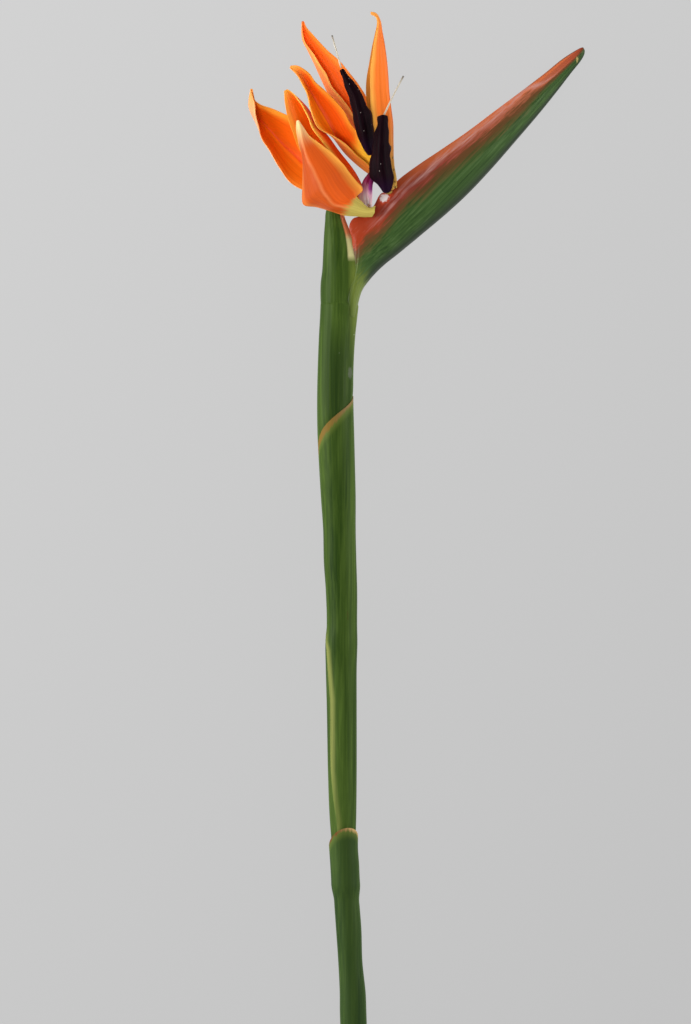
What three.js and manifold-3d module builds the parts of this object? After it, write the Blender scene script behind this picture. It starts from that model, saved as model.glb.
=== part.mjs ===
// Cut bird of paradise flower (Strelitzia reginae) lying on a table: a straight stem in two leaf
// sheaths, a boat-shaped bract that juts out at its top, and two open flowers that stand in the bract.
// Millimetres, +Z up. The stem runs along +Y, the boat-shaped bract points to +X and +Y, and the
// origin ends up on the table, under the middle of the whole cutting.
import * as THREE from "three";
import { mergeVertices } from "three/addons/utils/BufferGeometryUtils.js";
import Module from "manifold-3d";

const wasm = await Module();
wasm.setup();

// ---- Driving dimensions, mm. X and Y are measured from the cut end of the stem. ----

const GAP = 0.3; // air left between two pieces that grow against each other
const STEM_LENGTH = 458; // cut end to the joint where both bracts are attached
const REST_HEIGHT = 6.5; // centre of the cut end above the table
const JOINT_HEIGHT = 20; // centre of the stem's top above the table, held up by the flower head
const STEM_SIDES = 16;
const STEM_RINGS = 56;

// Outline of the stalk with its sheaths on: distance from the cut end, sideways bend, outer radius.
const STALK = [
  [0, 6.2, 6.5], [60, 5, 6.45], [100, 3.8, 6.65], [109, 3.6, 6.5], [125, 2.4, 6.05], [141, 1.6, 6.35],
  [157, 0.45, 6.25], [166, -0.05, 6], [174, -0.45, 6.05], [182, -1, 6.05], [198, -1.45, 6.85],
  [220, -1.75, 7.35], [253, -2.05, 7.65], [272, -2.3, 7.9], [285, -2.2, 8.15], [294, -1.85, 7.65],
  [310, -2, 7.85], [325, -2.7, 8.15], [341, -3.05, 8.15], [357, -3.6, 8.7], [373, -4.25, 9],
  [389, -4.85, 9.2], [405, -5.15, 9.1], [421, -5, 8.95], [437, -4.3, 9.05], [446, -3.6, 9.25],
  [453, -3.05, 9.5], [STEM_LENGTH, -2.65, 9.8],
];
const SHEATH_WALL = 0.9;
const UPPER_SHEATH = { foot: 173, low: 377, high: 408 }; // its mouth runs round the stem at a slant
const LOWER_SHEATH = { foot: 0, low: 178, high: 192 };
const MOUTH_ARCH = 0.55; // below 1, the upper mouth climbs fast at first and then levels off
const LOWER_FRONT = 1.2; // turn at which the lower sheath's arched mouth is highest
const SHOULDER = { start: 18, end: 9 }; // the lower sheath widens this far before what it covers
const BARE_FADE = 8; // above the mouth the stem thickens to the full outline over this length

// The stem's hidden end, which turns into the boat-shaped bract and carries the flowers.
const CORE = [
  [-4.2, 455, 19.8, 6.4], [-3.9, 461, 20, 6.4], [-2, 463.5, 20.1, 5.2], [1.5, 466.5, 20.2, 4.8],
  [7, 472, 20.3, 4.1], [14, 479, 20.2, 3.2],
];

// Folded bracts. Each row: keel x, y; margin x, y; height of the middle; half width; mouth share.
const SPATHE = [
  [6.6, 456, 5.2, 468, 20, 6.4, 0.8], [8.3, 460.7, 6, 475.6, 20.1, 7.8, 0.8],
  [11.6, 465.5, 3.2, 486, 20.1, 8.8, 0.8], [15.5, 469.9, 1.8, 492.6, 20, 9.3, 0.78],
  [20, 474.1, 3.8, 496.6, 20, 9.6, 0.74], [25.5, 478.4, 9, 498.2, 19.8, 9.8, 0.72],
  [31, 482.9, 13.8, 502.6, 19.5, 9.9, 0.7], [36, 487, 17.6, 509, 19, 9.9, 0.66],
  [38.7, 489.3, 22, 510.4, 18.7, 9.9, 0.64], [41.5, 491.6, 25.8, 515.4, 18.4, 9.9, 0.6],
  [50.5, 499.2, 35.9, 523.2, 17, 9.7, 0.5], [61.5, 509.4, 48, 531.4, 14.8, 9.3, 0.42],
  [73.5, 522.2, 61, 540.4, 12.2, 8.8, 0.36], [85.4, 535.9, 74.7, 550.8, 9.2, 7.9, 0.3],
  [97.4, 550, 88.8, 561.4, 6.3, 6.4, 0.25], [106.6, 561.5, 100, 570, 4.6, 4.7, 0.25],
  [113.2, 570.1, 108.6, 577, 4.2, 3.5, 0.3], [118, 576.2, 114.6, 580.9, 4, 2.6, 0.35],
  [119.8, 579.6, 118.2, 582.8, 3.9, 1.6, 0.4], [120, 581.4, 119.2, 582.9, 3.9, 0.8, 0.5],
];
const SPATHE_WALL = 1.4;
const SPATHE_HOLLOW = { from: 2.4, to: 15 }; // rows between which the boat is hollow
const INNER_BRACT = [
  [-12.4, 459, 5.2, 460, 20, 8.6, 0.8], [-12.4, 464, 5.6, 466, 20.2, 8.4, 0.8],
  [-11.6, 471, 5.4, 473, 20.4, 7.8, 0.75], [-11.2, 479, 3.8, 482, 20.6, 7, 0.7],
  [-10.8, 488, 1.4, 490.4, 20.7, 6.2, 0.65], [-10.3, 495, -0.2, 496.8, 20.8, 5.4, 0.6],
  [-9.9, 500, -1.6, 501.4, 20.8, 4.4, 0.5], [-8.6, 503.6, -3.4, 504.2, 20.9, 3.2, 0.5],
  [-6.6, 505.4, -5.2, 505.6, 20.9, 1.6, 0.5],
];
const INNER_BRACT_WALL = 1.3;
const INNER_BRACT_HOLLOW = { from: 2, to: 6.5 };
const BRACT_RIM = { spathe: 4, inner: 3 }; // the hollows are cut on past the mouth by this much
const THINNEST = 0.4; // a hollow's half width never gets below this
const BRACT_BULGE = { widest: 0.5, spacing: 1.4 }; // share of the height; how points crowd to the keel

// Stalks between the stem's end and the petals: x, y, height, radius.
const OVARIES = {
  flower_a_ovary: [
    [8, 478.6, 20.6, 2.6], [10.6, 490, 20.6, 3.6], [11, 497, 21.8, 3.4], [10.8, 503.4, 24, 2.4],
  ],
  flower_b_ovary: [
    [14.6, 482, 20.2, 2.4], [18.5, 493.5, 19.5, 3.4], [20.8, 503, 21, 3.2], [21.8, 511, 24.6, 2],
  ],
};

// Sepals. Each row, from the base to the tip: left margin, rib, right margin.
const SEPALS = {
  flower_a_sepal_1: [
    [[13.2, 497.6, 29.4], [14.4, 500.2, 31.4], [14.9, 502.6, 30.4]],
    [[9.5, 497.6, 29.4], [10.5, 499.8, 32.2], [11.8, 501.6, 30.6]],
    [[4.5, 498, 29.2], [5.5, 500.9, 33.4], [8, 504.8, 30.8]],
    [[-1, 498.7, 28.6], [1.5, 502, 34.6], [5.4, 507.6, 31]],
    [[-7.4, 500.4, 27.8], [-5.2, 503.6, 34.8], [8.4, 511.2, 31.2]],
    [[-14.2, 502.5, 27], [-9.2, 507.2, 36.2], [5.4, 515, 31.4]],
    [[-20.5, 503.5, 26.6], [-11.9, 511.2, 36.7], [1.4, 520, 31.6]],
    [[-21.2, 506, 26.8], [-13.1, 514.2, 36.7], [-0.2, 522.4, 31.7]],
    [[-21.3, 512.6, 27.4], [-15.2, 518.8, 36.2], [-3.6, 525.8, 32]],
    [[-21.1, 520, 28.2], [-17.5, 523.8, 35.6], [-8, 530, 32]],
    [[-21.4, 528, 29], [-19.6, 529.3, 34.4], [-13, 533.8, 31.6]],
    [[-22.9, 533.8, 29.6], [-21.5, 535.1, 33.1], [-18, 537.6, 31.2]],
    [[-24.3, 540.5, 30], [-22.5, 540.7, 32.2], [-21, 541.5, 30.9]],
    [[-24.3, 545.1, 31], [-23.8, 545.4, 31.5], [-23.5, 545.3, 31.2]],
  ],
  flower_a_sepal_2: [
    [[7.6, 504.4, 24.6], [9, 505.64, 23], [9.4, 507.2, 25]],
    [[3, 508, 24.2], [7.7, 512.1, 21.5], [6.2, 511.5, 26]],
    [[-4, 513, 23.6], [4.3, 518.9, 20.5], [1.5, 517, 26.8]],
    [[-12, 519.8, 23.2], [0.1, 524.6, 20], [-4.2, 524, 27]],
    [[-18.6, 525.8, 23], [-4.5, 530.2, 19.5], [-9, 531, 27]],
    [[-23.2, 531.4, 23.5], [-9.1, 536.6, 19.5], [-13, 536.5, 27]],
    [[-25.4, 537.5, 23.8], [-13.1, 541.6, 18.6], [-16.6, 541.4, 25.8]],
    [[-27.4, 542.8, 24], [-16.5, 546.4, 18], [-18.9, 546.6, 24.6]],
    [[-29.2, 549, 24.2], [-19.9, 551.4, 18.8], [-21, 551.4, 24]],
    [[-30, 554.8, 24.6], [-23.5, 555.6, 20.8], [-23.5, 555.4, 24.4]],
    [[-30.4, 558.6, 25], [-26.6, 558.64, 22.8], [-26, 558.4, 24.8]],
    [[-30.5, 560.4, 25.2], [-29.4, 560.84, 24.8], [-28.2, 560.4, 25.2]],
  ],
  flower_a_sepal_3: [
    [[7.4, 502.2, 21.8], [8.4, 503.8, 20.8], [9, 505.4, 21.8]],
    [[1.8, 506, 20.2], [3.4, 508.6, 17.4], [6.4, 511, 20]],
    [[-7.6, 508.4, 17.1], [-4.6, 513.6, 13.6], [1.5, 519, 18.2]],
    [[-16.4, 509.8, 14.1], [-13, 519, 9.6], [-5, 528, 16.6]],
    [[-23.3, 512.2, 12.1], [-20, 523.8, 5.8], [-11.5, 536, 15.2]],
    [[-28.6, 516.1, 10.6], [-26, 529.2, 3], [-17.5, 542, 14]],
    [[-33.1, 523.1, 9.6], [-31.5, 534.6, 1.4], [-25, 546.8, 13]],
    [[-37.4, 530.3, 9.1], [-36.6, 540, 1.1], [-32, 549.6, 12.1]],
    [[-41.8, 537, 9.4], [-41.4, 545, 2.2], [-38.4, 552.2, 11.6]],
    [[-43.4, 543, 11.1], [-45.8, 549.2, 4.6], [-43, 554, 11.6]],
    [[-44.6, 549.3, 13.1], [-47.9, 553.2, 8.1], [-45.2, 555.8, 12.6]],
    [[-45.4, 555, 15.1], [-47.8, 557.6, 12], [-46.2, 558.6, 14.6]],
    [[-47.4, 561, 17], [-47.1, 561.5, 16.7], [-46.7, 561.2, 17.1]],
  ],
  flower_b_sepal_1: [
    [[18.4, 513.2, 24.6], [19.2, 513.6, 23.4], [20.2, 515.2, 24.8]],
    [[15, 519.2, 25], [15.2, 517.6, 21.6], [17.6, 521.4, 25]],
    [[10.4, 524.6, 25.2], [9.8, 521.4, 20], [13.2, 527.4, 25.2]],
    [[5.4, 528.8, 25.2], [4.2, 526.2, 19], [8.4, 533.6, 25.2]],
    [[0.5, 533.4, 25], [-0.2, 530.8, 18.2], [5.6, 539.4, 25]],
    [[-4.8, 537.2, 24.8], [-3.6, 536, 18], [2.6, 543.6, 24.8]],
    [[-10.2, 540, 24.6], [-7, 541.8, 18], [-0.9, 550.2, 24.6]],
    [[-14, 543, 25.2], [-10, 547, 18.4], [-5.9, 556.2, 24.4]],
    [[-16.2, 547.6, 25.6], [-13.6, 553, 19], [-11, 560.8, 24.2]],
    [[-17.8, 553, 25.4], [-16.8, 558.6, 19.8], [-15, 564.5, 24]],
    [[-19, 559, 24.8], [-19.8, 564.2, 20.6], [-18.2, 569, 23.8]],
    [[-21.6, 564.6, 24], [-22.9, 568.8, 21.4], [-21.9, 571.9, 23.6]],
    [[-24.4, 568.9, 23.8], [-25.2, 570.9, 22.6], [-24.8, 573, 23.6]],
    [[-27.4, 571.9, 23.1], [-27.7, 572.4, 22.8], [-27.5, 572.9, 23.1]],
  ],
  flower_b_sepal_2: [
    [[21.6, 514, 22.6], [22.6, 514.4, 21.2], [23.6, 514.8, 22.4]],
    [[18.8, 521, 21], [19, 520.6, 18], [21.6, 523.4, 21]],
    [[14.4, 528, 19.5], [13.6, 527, 14.8], [18, 533.6, 19]],
    [[9.8, 536.4, 18.5], [8.2, 535, 12.8], [14.6, 543, 17.5]],
    [[5.8, 544.6, 18], [3.2, 541.8, 11.8], [12.5, 551, 16.5]],
    [[2.2, 551.6, 17.5], [-1.4, 549.4, 11.2], [10.4, 557.5, 16]],
    [[-2.8, 558.2, 17.2], [-6.4, 557.4, 11], [6.7, 563.6, 15.5]],
    [[-6.8, 563.4, 17], [-10, 564.8, 11], [2.2, 569.4, 15.2]],
    [[-9.8, 569.4, 16.8], [-13.1, 571.4, 11.2], [-2.9, 575.4, 15]],
    [[-13, 574.2, 16.4], [-15.8, 577.2, 11.6], [-8.5, 580.4, 14.8]],
    [[-16.4, 579.8, 16], [-18.4, 582.2, 12], [-13.1, 585.2, 14.6]],
    [[-20, 585.2, 15.6], [-20.8, 586.6, 12.6], [-16.8, 589.4, 14.6]],
    [[-21.4, 589.7, 15.2], [-21.5, 590.6, 13.2], [-19.6, 592.4, 14.4]],
    [[-21.6, 595.2, 14.5], [-21.4, 595.6, 14.1], [-21, 595.4, 14.4]],
  ],
  flower_b_sepal_3: [
    [[23.2, 510.6, 27.4], [24.7, 511.6, 27.6], [24.9, 513, 26.2]],
    [[21.4, 515.6, 27], [24.4, 516.6, 26.7], [24.1, 518.4, 24.6]],
    [[19, 521.4, 26.5], [23.6, 521.8, 25.3], [21.8, 525, 23]],
    [[16.8, 528.4, 26], [23.1, 528.4, 23.8], [17.6, 532, 22]],
    [[15.4, 536, 25.6], [23, 536, 22.4], [14.4, 538, 21.2]],
    [[13.8, 543.6, 25.4], [22.9, 544, 22], [12.2, 545.6, 20.8]],
    [[12.6, 551.6, 25.2], [22, 551.4, 21.6], [10.8, 553, 20.4]],
    [[12.2, 559.4, 25], [21, 559.6, 21.2], [10.2, 560, 20]],
    [[12.2, 567, 24.8], [20.5, 567.6, 20.8], [10.5, 566.8, 19.6]],
    [[13, 575.2, 24.4], [19.8, 575.6, 20.4], [11.7, 574, 19]],
    [[14, 582.8, 23.8], [18.7, 583.6, 20], [13.2, 582.4, 18.4]],
    [[15.2, 589.6, 23], [17.7, 589.6, 19.6], [14.8, 589.6, 18]],
    [[15.8, 594.8, 21.8], [16.8, 595.8, 19.4], [15.8, 594.8, 18.2]],
    [[14.9, 597.6, 20.6], [15, 599.1, 19.4], [14.9, 597.6, 18.3]],
    [[12.7, 598.7, 19.9], [12.5, 599.8, 19.4], [12.7, 598.7, 18.9]],
  ],
};
const SEPAL_SHAPE = { crease: 0.22, middle: 1, edge: 0.65, tip: 0.65, across: 8, along: 20 };
const TIP_FADE = 0.75; // a blade starts to thin towards its tip at this share of its length

// Arrow petals, two grown into one round the stamens, with the claw that carries them.
const ARROWS = {
  flower_a_arrow: {
    rows: [
      [[19.3, 510.7, 35.2], [20.6, 510, 35.8], [21.7, 510.3, 35.2]],
      [[16.6, 513, 35], [19.9, 513.6, 37.4], [23.2, 512.6, 35]],
      [[12.8, 516.8, 34.8], [19.2, 518, 38.6], [23.6, 516.6, 34.8]],
      [[12, 521.2, 34.8], [18.4, 523, 39], [22.9, 522, 34.8]],
      [[12.9, 526.4, 35], [18.2, 527, 39.2], [21.7, 527.4, 35]],
      [[13.7, 530.6, 35.1], [18.2, 530.8, 39.2], [22.5, 530.8, 35.1]],
      [[14, 534.4, 35.2], [18.3, 534.6, 39.1], [21.1, 534, 35.2]],
      [[15, 538.6, 35.4], [18.5, 539, 39], [21.1, 539, 35.4]],
      [[16.4, 543.4, 35.8], [18.6, 543.8, 38.6], [20.9, 543.4, 35.8]],
      [[16.3, 547.2, 36.4], [18.5, 547.9, 37.8], [20.3, 547.6, 36.4]],
    ],
    claw: [[14.4, 518.6, 35.6, 1.2], [12.7, 514, 33, 1.05], [12.4, 508.5, 30, 1], [12.4, 502.6, 27.6, 0.9]],
  },
  flower_b_arrow: {
    rows: [
      [[11.9, 529.2, 28.6], [12.8, 529.1, 29.4], [13.8, 529.3, 28.8]],
      [[9.3, 532.8, 28.4], [11, 533, 31], [14, 533, 28.8]],
      [[6.9, 537, 28.2], [9.9, 538, 32], [13.9, 538, 28.8]],
      [[5.1, 542, 28], [8.9, 543.5, 32.2], [13.6, 543.6, 28.8]],
      [[4.3, 547.6, 28], [7.9, 549, 32.2], [12.3, 550, 28.6]],
      [[3.5, 551.8, 28], [6.9, 552.6, 31.8], [10.1, 552.8, 28.6]],
      [[2.2, 556.8, 28], [5.6, 557.2, 31.4], [8.1, 557.2, 28.6]],
      [[0.2, 562.4, 28.2], [2.7, 563, 30.6], [3.9, 563, 28.6]],
      [[-1.2, 567, 28.6], [0.2, 567.2, 29.8], [0.8, 567.4, 28.8]],
      [[-2.4, 570.7, 29], [-2, 571, 29.4], [-1.6, 570.9, 29.1]],
    ],
    claw: [[12.4, 533, 29.4, 1], [14.8, 526, 28.2, 1], [17.6, 519.4, 27.4, 0.9], [20.2, 513, 26.9, 0.9]],
  },
};
const ARROW_SHAPE = { crease: 0.3, middle: 2.2, edge: 0.65, tip: 0.65, across: 6, along: 18 };

// Free ends of the styles, past the tips of the arrow petals: x, y, height, radius.
const STYLES = {
  flower_a_style: [[19.6, 548.9, 37.2, 0.55], [24.1, 558.2, 36.4, 0.45], [28.9, 567.4, 35.4, 0.5]],
  flower_b_style: [[-2.2, 571.8, 29.4, 0.5], [-4.4, 579.6, 28.6, 0.45], [-6.75, 588, 27.4, 0.5]],
};

// The third, short petal at the foot of each arrow petal.
const SMALL_PETALS = {
  flower_a_small_petal: [
    [[9.8, 501.8, 26.6], [10.4, 501.6, 26.9], [10.9, 501.9, 26.6]],
    [[8.4, 504.6, 26.8], [9.9, 504.8, 27.6], [10.9, 505, 26.9]],
    [[6.4, 508.2, 27.2], [9.3, 508.8, 28.6], [11.3, 509.2, 27.6]],
    [[7.8, 512, 28], [9.9, 512.6, 29.4], [11.8, 512.6, 28.4]],
    [[9, 515.4, 29], [11, 516.2, 30.2], [12.6, 515.8, 29.4]],
    [[11.8, 519.2, 30], [12.6, 519.4, 30.5], [13.2, 519, 30.3]],
  ],
  flower_b_small_petal: [
    [[19.4, 510.8, 28.6], [20.2, 510.9, 28.9], [20.9, 511.3, 28.7]],
    [[18.5, 513.6, 29], [19.8, 514.2, 29.7], [20.8, 514.8, 29.2]],
    [[18, 516.6, 29.6], [19.1, 517.2, 30.2], [20, 517.6, 29.8]],
    [[18.2, 520.2, 30.4], [18.8, 520.4, 30.7], [19.4, 520.3, 30.5]],
  ],
};
const SMALL_PETAL_SHAPE = { crease: 0.3, middle: 0.8, edge: 0.65, tip: 0.65, across: 4, along: 8 };

// How finely the round pieces are divided.
const DETAIL = {
  core: { sides: 12, steps: 8 }, ovary: { sides: 10, steps: 8 }, thin: { sides: 6, steps: 6 },
  spathe: { sides: 6, steps: 26 }, spatheHollow: { sides: 5, steps: 20 },
  innerBract: { sides: 5, steps: 14 }, innerBractHollow: { sides: 4, steps: 6 },
  upperSheath: 18, lowerSheath: 22,
};

const COLOURS = {
  stem: 0x4a6b2e, sheath: 0x567832, spathe: 0x4a6b33, inner_bract: 0x54763a, ovary: 0xc8c890,
  sepal: 0xe65a10, arrow: 0x241230, style: 0xe8dcc4, small_petal: 0xd8b8c8,
};

// ---- Geometry helpers ----

const vec = (x, y, z) => new THREE.Vector3(x, y, z);

// A curve through hand-set points, read so that equal shares run from point to point.
function curve(points) {
  return new THREE.CatmullRomCurve3(points, false, "centripetal");
}

// A closed geometry whose faces point outwards.
function closed(points, faces) {
  const volume = faces.reduce(
    (sum, [a, b, c]) => sum + points[a].dot(points[b].clone().cross(points[c])), 0);
  const index = faces.flatMap(([a, b, c]) => (volume > 0 ? [a, b, c] : [a, c, b]));
  const geometry = new THREE.BufferGeometry().setFromPoints(points);
  geometry.setIndex(index);
  return geometry;
}

function toSolid(geometry) {
  const bare = geometry.clone();
  bare.deleteAttribute("normal");
  bare.deleteAttribute("uv");
  const merged = mergeVertices(bare, 1e-4);
  return new wasm.Manifold(new wasm.Mesh({
    numProp: 3,
    vertProperties: new Float32Array(merged.attributes.position.array),
    triVerts: new Uint32Array(merged.index.array),
  }));
}

function toGeometry(solid) {
  const mesh = solid.getMesh();
  const geometry = new THREE.BufferGeometry();
  geometry.setAttribute("position", new THREE.BufferAttribute(mesh.vertProperties, 3));
  geometry.setIndex(new THREE.BufferAttribute(mesh.triVerts, 1));
  return geometry;
}

// The largest body of a cut solid, without the slivers a cut can leave.
function mainBody(solid) {
  return solid.decompose().reduce((a, b) => (b.volume() > a.volume() ? b : a));
}

// A solid through a row of rings that all have the same number of points.
function loft(rings) {
  const sides = rings[0].length;
  const points = rings.flat();
  const faces = [];
  for (let r = 0; r + 1 < rings.length; r++) {
    for (let i = 0; i < sides; i++) {
      const a = r * sides + i;
      const b = r * sides + ((i + 1) % sides);
      faces.push([a, b, b + sides], [a, b + sides, a + sides]);
    }
  }
  [rings[0], rings.at(-1)].forEach((ring, end) => {
    const middle = points.push(ring.reduce((sum, p) => sum.add(p), vec(0, 0, 0)).divideScalar(sides)) - 1;
    const first = end * (rings.length - 1) * sides;
    for (let i = 0; i < sides; i++) {
      const pair = [first + i, first + ((i + 1) % sides)];
      faces.push(end ? [pair[0], pair[1], middle] : [pair[1], pair[0], middle]);
    }
  });
  return closed(points, faces);
}

// A round rod along rows of x, y, height and radius.
function rod(rows, { sides, steps, grow = 0 }) {
  const path = curve(rows.map(([x, y, z]) => vec(x, y, z)));
  const size = curve(rows.map((row) => vec(row[3] + grow, 0, 0)));
  const rings = [];
  for (let s = 0; s <= steps; s++) {
    const centre = path.getPoint(s / steps);
    const radius = size.getPoint(s / steps).x;
    const across = path.getTangent(s / steps).cross(vec(0, 0, 1)).normalize();
    const up = across.clone().cross(path.getTangent(s / steps)).normalize();
    rings.push(Array.from({ length: sides }, (_, i) => {
      const turn = (2 * Math.PI * i) / sides;
      return centre.clone()
        .addScaledVector(across, radius * Math.cos(turn))
        .addScaledVector(up, radius * Math.sin(turn));
    }));
  }
  return loft(rings);
}

// A blade through its left margin, rib and right margin, folded along the rib. The rows give its
// inner face; the wall lies outside the fold and thins from the rib to the margins and to the tip.
// Both faces are split into the same triangles.
function blade(rows, { crease, middle, edge, tip, across, along }) {
  const [left, rib, right] = [0, 1, 2].map((k) => curve(rows.map((row) => vec(...row[k]))));
  const foldAt = (v) => left.getPoint(v).add(right.getPoint(v)).divideScalar(2).sub(rib.getPoint(v));
  const at = (u, v) => {
    const lift = (Math.hypot(u, crease) - crease) / (Math.hypot(1, crease) - crease);
    return rib.getPoint(v)
      .addScaledVector(right.getPoint(v).sub(left.getPoint(v)), u / 2)
      .addScaledVector(foldAt(v), lift);
  };
  const STEP = 1e-3;
  const normal = (u, v) => {
    const du = at(Math.min(u + STEP, 1), v).sub(at(Math.max(u - STEP, -1), v));
    const dv = at(u, Math.min(v + STEP, 1)).sub(at(u, Math.max(v - STEP, 0)));
    return du.cross(dv).normalize();
  };
  const outward = -Math.sign(normal(0, 0.5).dot(foldAt(0.5)));
  const sheet = new THREE.PlaneGeometry(2, 1, across, along);
  const count = sheet.attributes.position.count;
  const points = [];
  for (const side of [0, outward]) {
    for (let i = 0; i < count; i++) {
      const u = sheet.attributes.position.getX(i);
      const v = sheet.attributes.position.getY(i) + 0.5;
      const wall = THREE.MathUtils.lerp(middle, edge, u * u);
      const thickness = THREE.MathUtils.lerp(wall, tip, THREE.MathUtils.smoothstep(v, TIP_FADE, 1));
      points.push(at(u, v).addScaledVector(normal(u, v), side * thickness));
    }
  }
  const faces = [];
  for (let i = 0; i < sheet.index.count; i += 3) {
    const [a, b, c] = [0, 1, 2].map((k) => sheet.index.getX(i + k));
    faces.push([a, b, c], [a + count, c + count, b + count]);
  }
  const row = across + 1;
  const rim = [];
  for (let i = 0; i < across; i++) rim.push(i);
  for (let j = 0; j < along; j++) rim.push(j * row + across);
  for (let i = across; i > 0; i--) rim.push(along * row + i);
  for (let j = along; j > 0; j--) rim.push(j * row);
  rim.forEach((a, i) => {
    const b = rim[(i + 1) % rim.length];
    faces.push([a, b, b + count], [a, b + count, a + count]);
  });
  return closed(points, faces);
}

// Rings of a folded bract: round at the keel, widest half way up, drawn in at the mouth.
function bractRings(rows, { from = 0, to = rows.length - 1, wall = 0, grow = 0, rise = 0, steps, sides }) {
  const lines = [
    curve(rows.map(([kx, ky, , , z]) => vec(kx, ky, z))),
    curve(rows.map(([, , mx, my, z]) => vec(mx, my, z))),
    curve(rows.map((row) => vec(row[5], row[6], 0))),
  ];
  const { widest, spacing } = BRACT_BULGE;
  return Array.from({ length: steps + 1 }, (_, s) => {
    const t = (from + ((to - from) * s) / steps) / (rows.length - 1);
    const [keel, margin, size] = lines.map((line) => line.getPoint(t));
    const depth = margin.distanceTo(keel);
    const up = margin.clone().sub(keel).normalize();
    const start = keel.clone().addScaledVector(up, wall - grow);
    const height = depth - wall + grow + rise;
    const half = Math.max(size.x - wall + grow, THINNEST);
    const ring = [];
    for (let i = -sides; i <= sides; i++) {
      const h = Math.pow(Math.abs(i) / sides, spacing);
      const width = h < widest
        ? Math.sqrt(1 - (1 - h / widest) ** 2)
        : 1 - (1 - size.y) * ((h - widest) / (1 - widest)) ** 2;
      ring.push(start.clone().addScaledVector(up, height * h).add(vec(0, 0, Math.sign(i) * width * half)));
    }
    return ring;
  });
}

// ---- Stem and sheaths ----

const stalkLine = curve(STALK.map(([y, x]) => vec(x, y, 0)));
const stalkSize = curve(STALK.map(([y, , radius]) => vec(radius, y, 0)));

// Centre of the stalk at a distance from the cut end.
function stalkAt(share) {
  const point = stalkLine.getPoint(share);
  point.z = THREE.MathUtils.lerp(REST_HEIGHT, JOINT_HEIGHT, point.y / STEM_LENGTH);
  return point;
}

const TURNS = Array.from({ length: STEM_SIDES }, (_, i) => (2 * Math.PI * i) / STEM_SIDES);

// The upper sheath's mouth climbs from the left side over the front to the right, then drops back.
function upperMouth(turn) {
  const { low, high } = UPPER_SHEATH;
  const climb = Math.abs(Math.PI - turn) / Math.PI;
  return low + (high - low) * (turn < Math.PI ? Math.pow(climb, MOUTH_ARCH) : climb);
}

// The lower sheath's mouth is a low arch, highest at the front.
function lowerMouth(turn) {
  const { low, high } = LOWER_SHEATH;
  return low + ((high - low) * (1 + Math.cos(turn - LOWER_FRONT))) / 2;
}

// Under the sheaths the stem is thinner by their wall and the gap.
function stemRadius(share, turn) {
  const outer = stalkSize.getPoint(share);
  const mouth = upperMouth(turn);
  const bare = THREE.MathUtils.smoothstep(outer.y, mouth, mouth + BARE_FADE);
  return outer.x - (1 - bare) * (SHEATH_WALL + GAP);
}

function stemGeometry(grow = 0) {
  const rings = Array.from({ length: STEM_RINGS + 1 }, (_, s) => {
    const share = s / STEM_RINGS;
    return TURNS.map((turn) => stalkPoint(share, turn, stemRadius(share, turn) + grow));
  });
  const core = toSolid(rod(CORE, { ...DETAIL.core, grow }));
  return toSolid(loft(rings)).add(core);
}

// A point round the stalk, at that radius.
function stalkPoint(share, turn, radius) {
  return stalkAt(share).add(vec(radius * Math.cos(turn), 0, radius * Math.sin(turn)));
}

// Share of the stalk's length at a distance y from the cut end.
function shareAt(y) {
  let [low, high] = [0, 1];
  for (let i = 0; i < 30; i++) {
    const middle = (low + high) / 2;
    if (stalkLine.getPoint(middle).y < y) low = middle;
    else high = middle;
  }
  return low;
}

// A sheath: a thin sleeve whose mouth height follows the turn round the stem. It widens over
// whatever it has inside it, from the distance that "over" gives.
function sheathGeometry(foot, mouth, steps, over = STEM_LENGTH) {
  const points = [];
  const insideAt = (share, turn) => {
    const y = stalkLine.getPoint(share).y;
    const lift = THREE.MathUtils.smoothstep(y, over - SHOULDER.start, over - SHOULDER.end);
    return stemRadius(share, turn) + GAP + lift * (SHEATH_WALL + GAP);
  };
  for (const wall of [SHEATH_WALL, 0]) {
    for (let s = 0; s <= steps; s++) {
      for (const turn of TURNS) {
        const share = shareAt(THREE.MathUtils.lerp(foot, mouth(turn), s / steps));
        points.push(stalkPoint(share, turn, insideAt(share, turn) + wall));
      }
    }
  }
  const inner = (steps + 1) * STEM_SIDES;
  const faces = [];
  for (let i = 0; i < STEM_SIDES; i++) {
    const next = (i + 1) % STEM_SIDES;
    for (let s = 0; s < steps; s++) {
      const [a, b] = [s * STEM_SIDES + i, s * STEM_SIDES + next];
      const [c, d] = [a + STEM_SIDES, b + STEM_SIDES];
      faces.push([a, b, d], [a, d, c]);
      faces.push([a + inner, d + inner, b + inner], [a + inner, c + inner, d + inner]);
    }
    const top = steps * STEM_SIDES;
    faces.push([next, i, i + inner], [next, i + inner, next + inner]);
    faces.push([top + i, top + next, top + next + inner], [top + i, top + next + inner, top + i + inner]);
  }
  return closed(points, faces);
}

// ---- Assembly ----

const flower = new THREE.Group();

function addPiece(name, geometry, colour, roughness = 0.55) {
  geometry.computeVertexNormals();
  const material = new THREE.MeshStandardMaterial({ color: colour, roughness, metalness: 0 });
  const mesh = new THREE.Mesh(geometry, material);
  mesh.name = name;
  flower.add(mesh);
}

const stem = stemGeometry();
const stemClear = stemGeometry(GAP);
addPiece("stem", toGeometry(stem), COLOURS.stem);
const upperSheath = toSolid(sheathGeometry(UPPER_SHEATH.foot, upperMouth, DETAIL.upperSheath))
  .subtract(stemGeometry(GAP / 2));
addPiece("stem_sheath_upper", toGeometry(mainBody(upperSheath)), COLOURS.sheath);
const lowerSheath = sheathGeometry(LOWER_SHEATH.foot, lowerMouth, DETAIL.lowerSheath, UPPER_SHEATH.foot);
addPiece("stem_sheath_lower", lowerSheath, COLOURS.sheath);

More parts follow.
